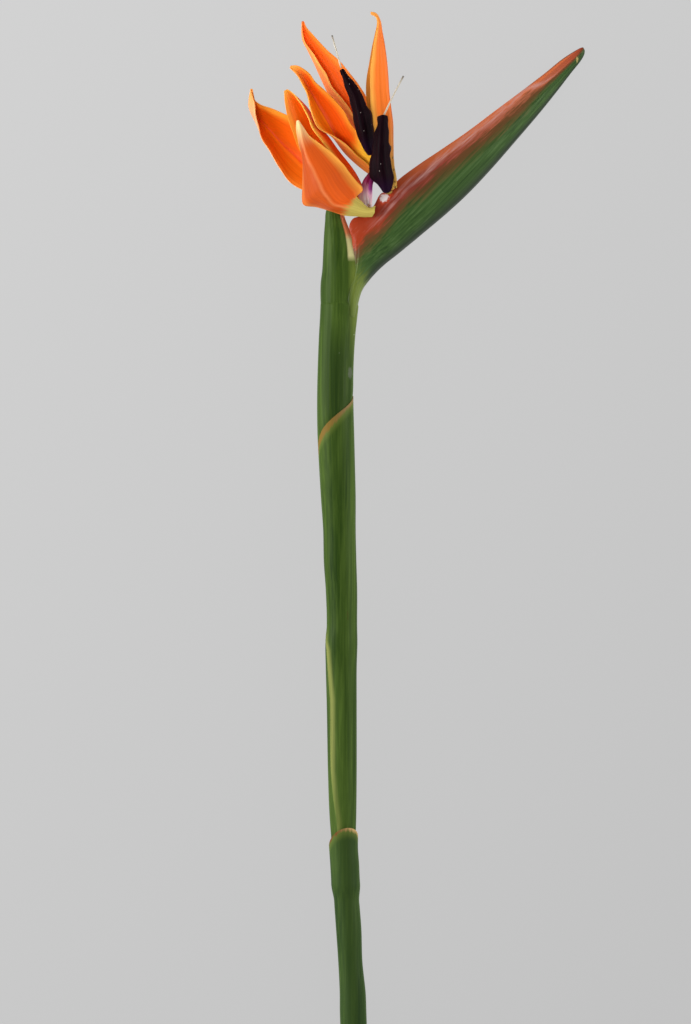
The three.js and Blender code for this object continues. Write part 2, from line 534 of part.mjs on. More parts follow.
const ovaries = Object.entries(OVARIES).map(([name, rows]) => ({
  name,
  solid: toSolid(rod(rows, DETAIL.ovary)).subtract(stemClear),
  room: toSolid(rod(rows, { ...DETAIL.ovary, grow: GAP })),
}));
const clearOfOvaries = (solid) =>
  mainBody(ovaries.reduce((left, { room }) => left.subtract(room), solid));

// A block under the table, which flattens what rests on it.
const TABLE = { width: 400, length: 1400, depth: 10 };
const underTable = toSolid(
  new THREE.BoxGeometry(TABLE.width, TABLE.length, TABLE.depth).translate(0, 0, -TABLE.depth / 2));

function spatheSolid() {
  const outer = toSolid(loft(bractRings(SPATHE, DETAIL.spathe)));
  const hollow = toSolid(loft(bractRings(SPATHE, {
    ...SPATHE_HOLLOW, ...DETAIL.spatheHollow, wall: SPATHE_WALL, rise: BRACT_RIM.spathe })));
  return clearOfOvaries(outer.subtract(hollow).subtract(stemClear).subtract(underTable));
}
addPiece("spathe", toGeometry(spatheSolid()), COLOURS.spathe);

function innerBractSolid() {
  const outer = toSolid(loft(bractRings(INNER_BRACT, DETAIL.innerBract)));
  const hollow = toSolid(loft(bractRings(INNER_BRACT, {
    ...INNER_BRACT_HOLLOW, ...DETAIL.innerBractHollow, wall: INNER_BRACT_WALL, rise: BRACT_RIM.inner })));
  const spatheRoom = toSolid(loft(bractRings(SPATHE, { ...DETAIL.spathe, grow: GAP })));
  return mainBody(outer.subtract(hollow).subtract(spatheRoom).subtract(stemClear));
}
addPiece("inner_bract", toGeometry(innerBractSolid()), COLOURS.inner_bract);

const [ovaryA, ovaryB] = ovaries;
addPiece(ovaryA.name, toGeometry(mainBody(ovaryA.solid)), COLOURS.ovary);
addPiece(ovaryB.name, toGeometry(mainBody(ovaryB.solid.subtract(ovaryA.room))), COLOURS.ovary);

for (const [name, rows] of Object.entries(SEPALS)) {
  const sepal = toSolid(blade(rows, SEPAL_SHAPE)).subtract(underTable);
  addPiece(name, toGeometry(clearOfOvaries(sepal)), COLOURS.sepal);
}
for (const [name, { rows, claw }] of Object.entries(ARROWS)) {
  const head = toSolid(blade(rows, ARROW_SHAPE));
  const whole = head.add(toSolid(rod(claw, DETAIL.thin)));
  addPiece(name, toGeometry(clearOfOvaries(whole)), COLOURS.arrow, 0.7);
}
for (const [name, rows] of Object.entries(STYLES)) {
  addPiece(name, rod(rows, DETAIL.thin), COLOURS.style);
}
for (const [name, rows] of Object.entries(SMALL_PETALS)) {
  addPiece(name, toGeometry(clearOfOvaries(toSolid(blade(rows, SMALL_PETAL_SHAPE)))), COLOURS.small_petal);
}

// The origin goes to the table, under the middle of the box round the whole cutting.
flower.updateMatrixWorld(true);
const bounds = new THREE.Box3().setFromObject(flower, true);
const centre = bounds.getCenter(new THREE.Vector3());
flower.position.set(-centre.x, -centre.y, -bounds.min.z);

export default flower;
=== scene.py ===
import math

import bmesh
import bpy
import numpy as np
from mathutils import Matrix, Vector


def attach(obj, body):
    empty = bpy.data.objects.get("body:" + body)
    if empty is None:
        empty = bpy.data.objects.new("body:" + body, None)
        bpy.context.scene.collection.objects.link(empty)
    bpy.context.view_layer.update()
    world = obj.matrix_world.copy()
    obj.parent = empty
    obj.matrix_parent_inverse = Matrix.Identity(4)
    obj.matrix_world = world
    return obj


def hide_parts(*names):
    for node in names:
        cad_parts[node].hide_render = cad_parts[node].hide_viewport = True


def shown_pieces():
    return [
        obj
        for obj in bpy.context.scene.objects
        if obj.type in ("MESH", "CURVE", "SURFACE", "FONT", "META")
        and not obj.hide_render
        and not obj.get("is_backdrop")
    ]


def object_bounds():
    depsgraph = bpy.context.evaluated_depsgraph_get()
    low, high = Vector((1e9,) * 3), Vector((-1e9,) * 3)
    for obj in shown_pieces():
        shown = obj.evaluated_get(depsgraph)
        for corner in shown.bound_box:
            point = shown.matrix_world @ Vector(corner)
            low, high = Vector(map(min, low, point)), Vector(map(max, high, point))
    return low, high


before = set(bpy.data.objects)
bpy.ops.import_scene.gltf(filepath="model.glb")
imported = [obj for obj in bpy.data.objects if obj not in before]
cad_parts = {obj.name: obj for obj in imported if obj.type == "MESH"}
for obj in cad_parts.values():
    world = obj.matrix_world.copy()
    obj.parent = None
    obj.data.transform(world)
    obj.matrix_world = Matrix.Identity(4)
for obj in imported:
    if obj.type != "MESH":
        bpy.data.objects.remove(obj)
cad_box = [list(corner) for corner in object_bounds()]


# ---- Stem ----
# The round green flower stalk, a spongy core full of fibres under a waxy skin. It was cut square at
# its lower end, and its upper end, hidden by the bracts, bends over and carries both flowers.
MM, METRE = 0.001, 1000  # a millimetre in metres, and a metre in millimetres
CUT_CENTRE_X = 6.2
STEM_LENGTH = 458
REST_HEIGHT, JOINT_HEIGHT = 6.5, 20
SHEATH_WALL, SHEATH_AIR = 0.9, 0.3
UPPER_SHEATH = {"foot": 173, "low": 377, "high": 408}
MOUTH_ARCH = 0.55  # below 1, the mouth climbs fast at first and then levels off
BARE_FADE = (-12, 6)  # from below the mouth to above it the stem thickens to its full size
TOP_TAPER = (453, 460)  # under the bracts it shrinks to the hidden end
# distance from the cut end, sideways bend, outer radius with the sheaths on
STALK = [
    (0, 6.2, 6.5), (60, 5, 6.45), (100, 3.8, 6.65), (109, 3.6, 6.5), (125, 2.4, 6.05), (141, 1.6, 6.35),
    (157, 0.45, 6.25), (166, -0.05, 6), (174, -0.45, 6.05), (182, -1, 6.05), (198, -1.45, 6.85),
    (220, -1.75, 7.35), (253, -2.05, 7.65), (272, -2.3, 7.9), (285, -2.2, 8.15), (294, -1.85, 7.65),
    (310, -2, 7.85), (325, -2.7, 8.15), (341, -3.05, 8.15), (357, -3.6, 8.7), (373, -4.25, 9),
    (389, -4.85, 9.2), (405, -5.15, 9.1), (421, -5, 8.95), (437, -4.3, 9.05), (446, -3.6, 9.25),
    (453, -3.05, 9.5), (STEM_LENGTH, -2.65, 9.8),
]
# the hidden end that turns into the boat-shaped bract: x, y, z, radius
STEM_TOP = [
    (-4.2, 455, 19.8, 6.4), (-3.9, 461, 20, 6.4), (-2, 463.5, 20.1, 5.2), (1.5, 466.5, 20.2, 4.8),
    (7, 472, 20.3, 4.1), (14, 479, 20.2, 3.2),
]
STEM_RIDGE = 0.05  # height of the fine ridges that the fibres press out along the skin
STEM_RIDGES = 23
STEM_ROWS, TOP_ROWS = 261, 24  # cross sections along the visible stem and along its hidden end
TURNS = np.linspace(-math.pi, math.pi, 97)  # angles round the stem, 0 on its right, pi / 2 on top

CUT_BAND = 0.1  # the points of the cut end lie within this distance of it
cut_points = [v.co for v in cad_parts["stem"].data.vertices
              if v.co.y < cad_box[0][1] + CUT_BAND * MM]
cut_middle = (min(p.x for p in cut_points) + max(p.x for p in cut_points)) / 2
ORIGIN = np.array([cut_middle - CUT_CENTRE_X * MM, cad_box[0][1], 0])


def spline(points, shares):
    """Points at shares of the smooth line through the given ones; equal shares run from one to the next."""
    p = np.array(points, float)
    last = len(p) - 2
    p = np.vstack([2 * p[0] - p[1], p, 2 * p[-1] - p[-2]])
    spot = np.clip(np.asarray(shares, float), 0, 1) * (last + 1)
    i = np.minimum(spot.astype(int), last)
    t = (spot - i)[:, None]
    a, b, c, d = (p[i + k] for k in range(4))
    ab, bc, cd = (np.sqrt(np.linalg.norm(end - start, axis=1))[:, None] + 1e-6
                  for start, end in ((a, b), (b, c), (c, d)))
    leave = ((b - a) / ab - (c - a) / (ab + bc) + (c - b) / bc) * bc
    reach = ((c - b) / bc - (d - b) / (bc + cd) + (d - c) / cd) * bc
    bend = (2 * t**3 - 3 * t**2 + 1) * b + (3 * t**2 - 2 * t**3) * c
    return bend + (t**3 - 2 * t**2 + t) * leave + (t**3 - t**2) * reach


def ease(x, low, high):
    """0 below low, 1 above high, and a smooth climb between them."""
    t = np.clip((np.asarray(x, float) - low) / (high - low), 0, 1)
    return t * t * (3 - 2 * t)


def unit(vectors):
    return vectors / (np.linalg.norm(vectors, axis=-1, keepdims=True) + 1e-9)

SEAM_GAP = 0.002  # points nearer than this are one point
SHARP_ANGLE = math.radians(50)


def skin(name, faces, tags, closed=False, capped=False):
    """A piece made from a flat grid whose vertices are moved on to one face, or on to both faces of
    a wall. Each face is an array of rows of points, and each tag an array of one value a point."""
    rows, columns = faces[0].shape[:2]
    bm = bmesh.new()
    bmesh.ops.create_grid(bm, x_segments=columns - 1, y_segments=rows - 1, size=1)
    if len(faces) == 2:
        far = bmesh.ops.extrude_face_region(bm, geom=bm.faces[:])["geom"]
        for vertex in far:
            if isinstance(vertex, bmesh.types.BMVert):
                vertex.co.z = 1
    if closed:
        seam = [f for f in bm.faces if abs(sum(v.co.x for v in f.verts)) > len(f.verts) - 1e-3]
        bmesh.ops.delete(bm, geom=seam, context="FACES_ONLY")
    layers = {tag: bm.verts.layers.float.new(tag) for tag in tags}
    wall = bm.verts.layers.float.new("outside")
    for vertex in bm.verts:
        row = round((vertex.co.y + 1) / 2 * (rows - 1))
        column = round((vertex.co.x + 1) / 2 * (columns - 1))
        side = len(faces) - 1 if vertex.co.z > 0.5 else 0
        for tag, layer in layers.items():
            vertex[layer] = tags[tag][row, column]
        vertex[wall] = side if len(faces) == 2 else 1
        vertex.co = Vector(np.clip(ORIGIN + faces[side][row, column] * MM, *cad_box))
    if closed:
        bmesh.ops.remove_doubles(bm, verts=bm.verts[:], dist=SEAM_GAP * MM)
    if capped:
        bmesh.ops.holes_fill(bm, edges=[e for e in bm.edges if e.is_boundary], sides=0)
    bmesh.ops.recalc_face_normals(bm, faces=bm.faces[:])
    mesh = bpy.data.meshes.new(name)
    bm.to_mesh(mesh)
    bm.free()
    mesh.shade_smooth()
    mesh.set_sharp_from_angle(angle=SHARP_ANGLE)
    piece = bpy.data.objects.new(name, mesh)
    bpy.context.scene.collection.objects.link(piece)
    return piece


def dress(piece, material, slot, *nodes):
    """Gives a piece its material and its place in the frame; it stands for the named solids."""
    piece.data.materials.append(material)
    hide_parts(*nodes)
    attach(piece, "root")


def rings(centres, radii, turns):
    """Rings square to the line through their centres, with one radius a row or one a point."""
    along = unit(np.gradient(centres, axis=0))
    across = unit(np.cross(along, [0, 0, 1]))
    up = np.cross(across, along)
    radii = np.broadcast_to(radii, (len(centres), len(turns)))[..., None]
    return centres[:, None] + radii * (across[:, None] * np.cos(turns)[None, :, None]
                                       + up[:, None] * np.sin(turns)[None, :, None])


def stalk_at(shares):
    """Centres and outer radii of the stalk at shares of its length."""
    centres = spline([(x, y, 0) for y, x, _ in STALK], shares)
    radii = spline([(radius, y, 0) for y, _, radius in STALK], shares)[:, 0]
    centres[:, 2] = REST_HEIGHT + (JOINT_HEIGHT - REST_HEIGHT) * centres[:, 1] / STEM_LENGTH
    return centres, radii


def upper_mouth(turns):
    """The upper sheath's rim climbs from the left over the front to the right, then drops back."""
    climb = 1 - np.abs(turns) / math.pi
    return UPPER_SHEATH["low"] + (UPPER_SHEATH["high"] - UPPER_SHEATH["low"]) * np.where(
        turns >= 0, climb**MOUTH_ARCH, climb)


def stem_radii(shares, turns):
    """Radii of the stem itself, which is thinner under the sheaths."""
    centres, radii = stalk_at(shares)
    mouth = upper_mouth(turns)[None, :]
    bare = ease(centres[:, 1:2] - mouth, *BARE_FADE)
    taper = ease(centres[:, 1], *TOP_TAPER) * (radii - STEM_TOP[0][3])
    return (radii - taper)[:, None] - (1 - bare) * (SHEATH_WALL + SHEATH_AIR)


def linear(code):
    """An sRGB hex colour as linear light."""
    parts = [int(code[i:i + 2], 16) / 255 for i in (1, 3, 5)]
    return tuple(p / 12.92 if p <= 0.04045 else ((p + 0.055) / 1.055) ** 2.4 for p in parts) + (1.0,)


def add(tree, kind, inputs=(), out=0, stops=(), **settings):
    """Adds a node with its settings, its inputs as values, hex colours or links and its ramp's
    stops, and returns one of its outputs."""
    made = tree.nodes.new("ShaderNode" + kind)
    for key, value in settings.items():
        setattr(made, key, value)
    for key, value in dict(inputs).items():
        if isinstance(value, bpy.types.NodeSocket):
            tree.links.new(value, made.inputs[key])
        else:
            made.inputs[key].default_value = linear(value) if isinstance(value, str) else value
    for count, (place, tone) in enumerate(stops):
        elements = made.color_ramp.elements
        stop = elements[count] if count < 2 else elements.new(place)
        stop.position = place
        stop.color = linear(tone) if isinstance(tone, str) else (tone, tone, tone, 1)
    return made.outputs[out] if made.outputs else None


def new_material(name):
    made = bpy.data.materials.new(name)
    made.use_nodes = True
    made.node_tree.nodes.clear()
    return made, made.node_tree


def grain(tree, place, cells, detail=2.0, roughness=0.5):
    """Cloudy streaks, with so many of them to a metre along x, y and z."""
    return add(tree, "TexNoise", {"Vector": add(tree, "Mapping", {"Vector": place, "Scale": cells}),
                                  "Scale": 1.0, "Detail": detail, "Roughness": roughness})


def fade(tree, colour, tint, value, start, end, share=1.0, soft=False):
    """Turns a colour into a tint, or a share of the way to it, while a value goes from start to end."""
    part = add(tree, "MapRange", {"Value": value, "From Min": start, "From Max": end, "To Max": share},
               interpolation_type="SMOOTHSTEP" if soft else "LINEAR")
    return add(tree, "Mix", {0: part, 6: colour, 7: tint}, out=2, data_type="RGBA")


def fray(tree, value, streaks, by, low=0.0, high=1.0):
    """Makes a border ragged: shifts its value by so much either way as the streaks go from low to
    high."""
    shift = add(tree, "MapRange", {"Value": streaks, "From Min": low, "From Max": high,
                                   "To Min": -by, "To Max": by})
    return add(tree, "Math", {0: value, 1: shift}, operation="ADD")


def skin_finish(tree, colour, roughness, gloss, relief=None):
    """Plant skin of a colour: how rough and glossy its wax is, and the relief of its streaks."""
    skin_inputs = {"Base Color": colour, "Roughness": roughness, "Specular IOR Level": gloss}
    if relief:
        skin_inputs["Normal"] = relief
    add(tree, "OutputMaterial", {"Surface": add(tree, "BsdfPrincipled", skin_inputs)})


stem_shares = np.linspace(0, 1, STEM_ROWS)
stem_centres, _ = stalk_at(stem_shares)
radii = stem_radii(stem_shares, TURNS)
top_shares = np.linspace(0, 1, TOP_ROWS)[1:]
top_line = [(*stem_centres[-1], STEM_TOP[0][3]), *STEM_TOP[1:]]
top_radii = spline([(row[3], row[1], 0) for row in top_line], top_shares)[:, :1]
stem_centres = np.vstack([stem_centres, spline([row[:3] for row in top_line], top_shares)])
radii = np.vstack([radii, top_radii + 0 * TURNS])
stem_face = rings(stem_centres, radii + STEM_RIDGE * np.cos(STEM_RIDGES * TURNS), TURNS)
stem = skin("stem", [stem_face], {"turn": np.broadcast_to(TURNS, stem_face.shape[:2]),
                                  "reach": stem_face[..., 1]}, closed=True, capped=True)

FIBRE_MM, BAND_MM = 1.1, 5.0  # width of the fine streaks, drawn coarse to show, and of the bands
STREAKS_ALONG, BANDS_ALONG = 12, 5  # so many to a metre of stem
BUNDLE_MM = 1.4  # the bundles of fibres in the flesh lie this far apart


def leaf_green(tree):
    """Colour and streaks of the green skin. The streaks run with the fibres along the stem."""
    place = add(tree, "TexCoord", out=3)
    streaks = grain(tree, place, (METRE / FIBRE_MM, STREAKS_ALONG, METRE / FIBRE_MM), 3.0, 0.6)
    bands = grain(tree, place, (METRE / BAND_MM, BANDS_ALONG, METRE / BAND_MM))
    green = add(tree, "ValToRGB", {"Fac": streaks}, stops=[
        (0.28, "#22380E"), (0.74, "#566E2A"), (0.5, "#384F16")])
    banded = add(tree, "ValToRGB", {"Fac": bands}, stops=[(0.35, "#223A10"), (0.65, "#587030")])
    return add(tree, "Mix", {0: 0.45, 6: green, 7: banded}, out=2, data_type="RGBA"), streaks


def shaded_side(tree, colour, share):
    """Paints shade on the skin: darkens it by a share along the top of the stem, softly toward both sides.
    """
    band = add(tree, "MapRange", {"Value": add(tree, "Attribute", out=2, attribute_name="turn"),
                                  "From Min": 0.3, "From Max": 2.5})
    band = add(tree, "ValToRGB", {"Fac": band}, stops=[(0.0, 0.0), (1.0, 0.0), (0.35, 1.0), (0.6, 1.0)])
    dark = add(tree, "Math", {0: band, 1: share}, operation="MULTIPLY")
    return add(tree, "Mix", {0: dark, 6: colour, 7: "#1C2E14"}, out=2, data_type="RGBA")


def leaf_finish(tree, colour, streaks):
    """Waxed leaf skin: a soft sheen over fine relief. Where the knife went through square to the
    stem, the pale flesh shows the ends of its fibres."""
    facing = add(tree, "VectorMath", {0: add(tree, "NewGeometry", out=3), 1: (0, -1, 0)}, out=1,
                 operation="DOT_PRODUCT")
    bundles = add(tree, "TexVoronoi", {"Vector": add(tree, "TexCoord", out=3),
                                       "Scale": METRE / BUNDLE_MM})
    flesh = add(tree, "ValToRGB", {"Fac": bundles}, stops=[(0.1, "#6E7C3E"), (0.3, "#B4BC84")])
    bumps = add(tree, "Bump", {"Height": streaks, "Strength": 0.3, "Distance": 0.2 * MM})
    skin_finish(tree, fade(tree, colour, flesh, facing, 0.95, 0.98), 0.45, 0.06, bumps)


PATCH_START, PATCH_FULL = 1.1, 0.7  # shares of a patch's half sizes where it starts and is full
PATCH_FRAY, PATCH_SHARE = 0.6, 0.85  # how ragged its edge is, and how much of the skin it hides


def patch(tree, colour, centre, size, tint):
    """Colours a soft spot round a centre on the skin; centre and half sizes in millimetres."""
    off = add(tree, "VectorMath", {0: add(tree, "TexCoord", out=3), 1: ORIGIN + np.array(centre) * MM},
              operation="SUBTRACT")
    off = add(tree, "VectorMath", {0: off, 1: [1 / (half * MM) for half in size]}, operation="MULTIPLY")
    distance = fray(tree, add(tree, "VectorMath", {0: off}, out=1, operation="LENGTH"),
                    add(tree, "TexNoise", {"Vector": off, "Scale": 2.0}), PATCH_FRAY)
    return fade(tree, colour, tint, distance, PATCH_START, PATCH_FULL, PATCH_SHARE)


YELLOW_X, YELLOW_Y = (0.5, 4.5), (420, 455)  # the yellow grows from left to right and up the stem


def joint_green(tree, colour):
    """Yellower skin on the right of the fork, which fades out down the stem."""
    place = add(tree, "TexCoord", out=3)
    right = add(tree, "MapRange", {
        "Value": add(tree, "SeparateXYZ", {"Vector": place}), "From Min": ORIGIN[0] + YELLOW_X[0] * MM,
        "From Max": ORIGIN[0] + YELLOW_X[1] * MM, "To Max": 0.62}, interpolation_type="SMOOTHSTEP")
    level = add(tree, "MapRange", {
        "Value": add(tree, "SeparateXYZ", {"Vector": place}, out=1),
        "From Min": ORIGIN[1] + YELLOW_Y[0] * MM, "From Max": ORIGIN[1] + YELLOW_Y[1] * MM})
    yellow = add(tree, "Math", {0: right, 1: level}, operation="MULTIPLY")
    return add(tree, "Mix", {0: yellow, 6: colour, 7: "#7E8C3C"}, out=2, data_type="RGBA")


# Waxy green skin, yellower on the right below the bracts, with painted shade along its top under the bracts
# and a few white dots of wax.
SHADE_START, SHADE_FULL = 446.5, 428.0  # the shade under the bracts, down the stem
SPECK_MM = 4.0  # the white dots lie this far apart
SPECK_GROUPS = 60.0  # and they gather in this many groups to a metre
stem_skin, tree = new_material("waxy_green_stem_skin")
green, streaks = leaf_green(tree)
below = add(tree, "MapRange", {"Value": add(tree, "Attribute", out=2, attribute_name="reach"),
                               "From Min": SHADE_START, "From Max": SHADE_FULL, "To Max": 0.5})
green = joint_green(tree, shaded_side(tree, green, below))
green = patch(tree, green, (2.4, 419.5, 26), (1.2, 3, 6), "#5C6450")  # a grey scar
place = add(tree, "TexCoord", out=3)
dots = add(tree, "TexVoronoi", {"Vector": place, "Scale": METRE / SPECK_MM})
dots = add(tree, "MapRange", {"Value": dots, "From Min": 0.05, "From Max": 0.08, "To Min": 1.0,
                              "To Max": 0.0})
some = add(tree, "MapRange", {"Value": add(tree, "TexNoise", {"Vector": place, "Scale": SPECK_GROUPS}),
                              "From Min": 0.48, "From Max": 0.54})
dots = add(tree, "Math", {0: dots, 1: some}, operation="MULTIPLY")
green = add(tree, "Mix", {0: dots, 6: green, 7: "#C9D6B4"}, out=2, data_type="RGBA")
leaf_finish(tree, green, streaks)
dress(stem, stem_skin, "stem", "stem")


# ---- Leaf sheaths ----
# Two long leaf bases wrapped round the stem, thin and tough, one above the other. Each ends in a
# mouth whose rim has dried to a tan edge, and laps over itself along one long margin.
LOWER_SHEATH = {"foot": 0, "low": 178, "high": 192}
LOWER_FRONT = 1.2  # turn at which the lower sheath's arched mouth is highest
SHOULDER = (18, 9)  # the lower sheath widens this far before it covers the upper one
SHEATH_RIDGE, SHEATH_RIDGES = 0.03, 31  # height and number of its fine ridges
RIM_THINNING = 0.65  # the wall thins by this much to its rim
LAP_STEP = 0.3  # extra thickness where the upper sheath lies over itself
LAP_EASE, LAP_SPAN, LAP_FADE = 0.12, 2.6, 1.2  # turns in which that step starts, ends and fades
LAP_STRIP = (-0.5, -0.14, -0.1)  # turns to the lap's edge where its strip starts, is full and ends
LAP_WEAK, LAP_PALE = (195, 235), 0.45  # up to here the strip has this share of its strength
# the edge of the lap: distance from the cut end, turn round the stem
LAP_LINE = [(173, 1.9), (196, 2.02), (206, 2.22), (221, 2.42), (256, 2.37), (281, 2.65), (286, 2.9),
            (330, 3.3), (379, 3.5)]
MARGIN_END, MARGIN_FADE = 294, 12  # above it the edge of the lap is as green as the rest
BACK_TURN = -1.2  # turns below this, under the stem, are counted on past those on its left
REACH_STEPS = 800  # places along the stem where its line and radius are looked up
RIM_PACKING = 0.8  # below 1, the rows lie closer toward the rim

reach_centres, reach_radii = stalk_at(np.linspace(0, 1, REACH_STEPS))


def lower_mouth(turns):
    low, high = LOWER_SHEATH["low"], LOWER_SHEATH["high"]
    return low + (high - low) * (1 + np.cos(turns - LOWER_FRONT)) / 2


def lap_turn(reach):
    """Turn from the lap's edge, more than 0 on the lower layer, which lies under that edge."""
    edge = np.interp(reach, [row[0] for row in LAP_LINE], [row[1] for row in LAP_LINE])
    return np.where(TURNS < BACK_TURN, TURNS + 2 * math.pi, TURNS)[None, :] - edge


def sheath(name, foot, mouth, rows, over, lapped):
    """A sleeve between its foot and its slanting mouth; "over" is where it has another one inside,
    and "lapped" is 1 if it laps over itself."""
    share = np.linspace(0, 1, rows)[:, None] ** RIM_PACKING
    reach = foot + (mouth[None, :] - foot) * share
    centres = np.stack([np.interp(reach, reach_centres[:, 1], reach_centres[:, k]) for k in range(3)], -1)
    lift = (SHEATH_WALL + SHEATH_AIR) * ease(reach, over - SHOULDER[0], over - SHOULDER[1])
    from_mouth = mouth[None, :] - reach
    outside = np.interp(reach, reach_centres[:, 1], reach_radii) + lift
    inside = outside - SHEATH_WALL + RIM_THINNING * ease(-from_mouth, *BARE_FADE)
    past = lap_turn(reach)
    under = lapped * ease(past, 0, LAP_EASE) * ease(LAP_SPAN - past, 0, LAP_FADE)
    outside = outside + SHEATH_RIDGE * np.cos(SHEATH_RIDGES * TURNS)[None, :] - LAP_STEP * under
    around = np.stack([np.cos(TURNS), 0 * TURNS, np.sin(TURNS)], -1)[None]
    strip = lapped * ease(past, *LAP_STRIP[:2]) * ease(-past, LAP_STRIP[2], 0)
    strip = strip * ease(MARGIN_END - reach, 0, MARGIN_FADE)
    strip = strip * (LAP_PALE + (1 - LAP_PALE) * ease(reach, *LAP_WEAK))
    faces = [centres + inside[..., None] * around, centres + outside[..., None] * around]
    tags = {"from_mouth": from_mouth, "turn": np.broadcast_to(TURNS, reach.shape), "lap_edge": strip}
    return skin(name, faces, tags, closed=True)


upper_sheath = sheath("stem_sheath_upper_skin", UPPER_SHEATH["foot"], upper_mouth(TURNS), rows=200,
                      over=STEM_LENGTH, lapped=1)
lower_sheath = sheath("stem_sheath_lower_skin", LOWER_SHEATH["foot"], lower_mouth(TURNS), rows=170,
                      over=UPPER_SHEATH["foot"], lapped=0)


def sheath_material(name, rim_low, rim_high, rim_mm, dull, dark):
    """Green leaf base with a dried rim, which is that many millimetres wide on the left and right.
    "dull" is the share of blue wax all round it, "dark" that of shade along its top."""
    made, tree = new_material(name)
    colour, streaks = leaf_green(tree)
    colour = add(tree, "Mix", {0: dull, 6: colour, 7: "#2A4230"}, out=2, data_type="RGBA")
    colour = shaded_side(tree, colour, dark)
    worn = add(tree, "MapRange", {"Value": streaks, "From Min": 0.3, "From Max": 0.6, "To Min": 0.55,
                                  "To Max": 0.8})
    edge = add(tree, "Math", {0: add(tree, "Attribute", out=2, attribute_name="lap_edge"), 1: worn},
               operation="MULTIPLY")
    colour = add(tree, "Mix", {0: edge, 6: colour, 7: "#929650"}, out=2, data_type="RGBA")
    colour = patch(tree, colour, (0.9, 298.6, 18.6), (0.9, 5, 4), "#4A3A1C")  # a healed scratch
    side = add(tree, "MapRange", {"Value": add(tree, "Attribute", out=2, attribute_name="turn"),
                                  "From Min": 2.0, "From Max": 0.9})
    width = add(tree, "MapRange", {"Value": side, "To Min": rim_mm[0], "To Max": rim_mm[1]})
    from_mouth = add(tree, "Attribute", out=2, attribute_name="from_mouth")
    from_rim = add(tree, "Math", {0: fray(tree, from_mouth, streaks, 0.8, 0.3, 0.7), 1: width},
                   operation="SUBTRACT")
    colour = fade(tree, colour, "#7C8A3C", from_rim, 5.0, 0.2, 0.35, soft=True)
    tan = add(tree, "Mix", {0: side, 6: rim_low, 7: rim_high}, out=2, data_type="RGBA")
    leaf_finish(tree, fade(tree, colour, tan, from_rim, 0.8, -1.0, 0.9), streaks)
    return made


# Satin green leaf skin with its dried rims, the lower one duller from its wax.
dress(upper_sheath, sheath_material("satin_green_upper_sheath", "#86662A", "#8C7048", (4.4, 1.8), 0.0,
                                    0.12), "sheath", "stem_sheath_upper")
dress(lower_sheath, sheath_material("satin_green_lower_sheath", "#7A4426", "#D0A870", (1.0, 1.0), 0.25,
                                    0.4), "sheath", "stem_sheath_lower")


# ---- Boat-shaped bract ----
# The spathe: a tough folded leaf, green with a dull bloom, its two sides grown together along the
# keel. The flowers rise one after the other from the red-edged mouth along its upper side.
# each row: keel x, y; margin x, y; height of the middle; half width; share of it at the mouth
# The first rows lie just under the stem's skin, out of which both bracts grow.
SPATHE = [
    (5.2, 447, -1, 449, 19.7, 7.6, 0.85), (6.1, 453, 0.5, 459, 19.9, 8.4, 0.85),
    (8.3, 460.7, 3.4, 474, 20.1, 8.3, 0.85),
    (11.6, 465.5, 3.2, 486, 20.1, 8.8, 0.8), (15.5, 469.9, 1.8, 492.6, 20, 9.3, 0.78),
    (20, 474.1, 3.8, 496.6, 20, 9.6, 0.74), (25.5, 478.4, 9, 498.2, 19.8, 9.8, 0.72),
    (31, 482.9, 13.8, 502.6, 19.5, 9.9, 0.7), (36, 487, 17.6, 509, 19, 9.9, 0.66),
    (38.7, 489.3, 22, 510.4, 18.7, 9.9, 0.64), (41.5, 491.6, 25.8, 515.4, 18.4, 9.9, 0.6),
    (50.5, 499.2, 35.9, 523.2, 17, 9.7, 0.5), (61.5, 509.4, 48, 531.4, 14.8, 9.3, 0.42),
    (73.5, 522.2, 61, 540.4, 12.2, 8.8, 0.36), (85.4, 535.9, 74.7, 550.8, 9.2, 7.9, 0.3),
    (97.4, 550, 88.8, 561.4, 6.3, 6.4, 0.25), (106.6, 561.5, 100, 570, 4.6, 4.7, 0.25),
    (113.2, 570.1, 108.6, 577, 4.2, 3.5, 0.3), (118, 576.2, 114.6, 580.9, 4, 2.6, 0.35),
    (119.8, 579.6, 118.2, 582.8, 3.9, 1.6, 0.4), (120, 581.4, 119.2, 582.9, 3.9, 0.8, 0.5),
]
SPATHE_WALL = (1.4, 0.8)  # at the keel and at the mouth
WIDEST = 0.5  # the share of the height at which a bract is widest
KEEL_PACKING = 1.4  # above 1, the columns lie closer toward the keel
WALL_LIMIT = 0.7  # a wall is never thicker than this share of the half width
BRACT_RIDGE, BRACT_RIDGES = 0.06, 46  # height of the ridges over the veins, and their closeness
SPATHE_GRID = (220, 97)  # points along it and round it


def bract_relief(u, v):
    """Low ridges over the veins, which run from the base to the tip."""
    return BRACT_RIDGE * np.cos(BRACT_RIDGES * u + 3 * v) * ease(v, 0, 0.1) * ease(1 - v, 0, 0.1)


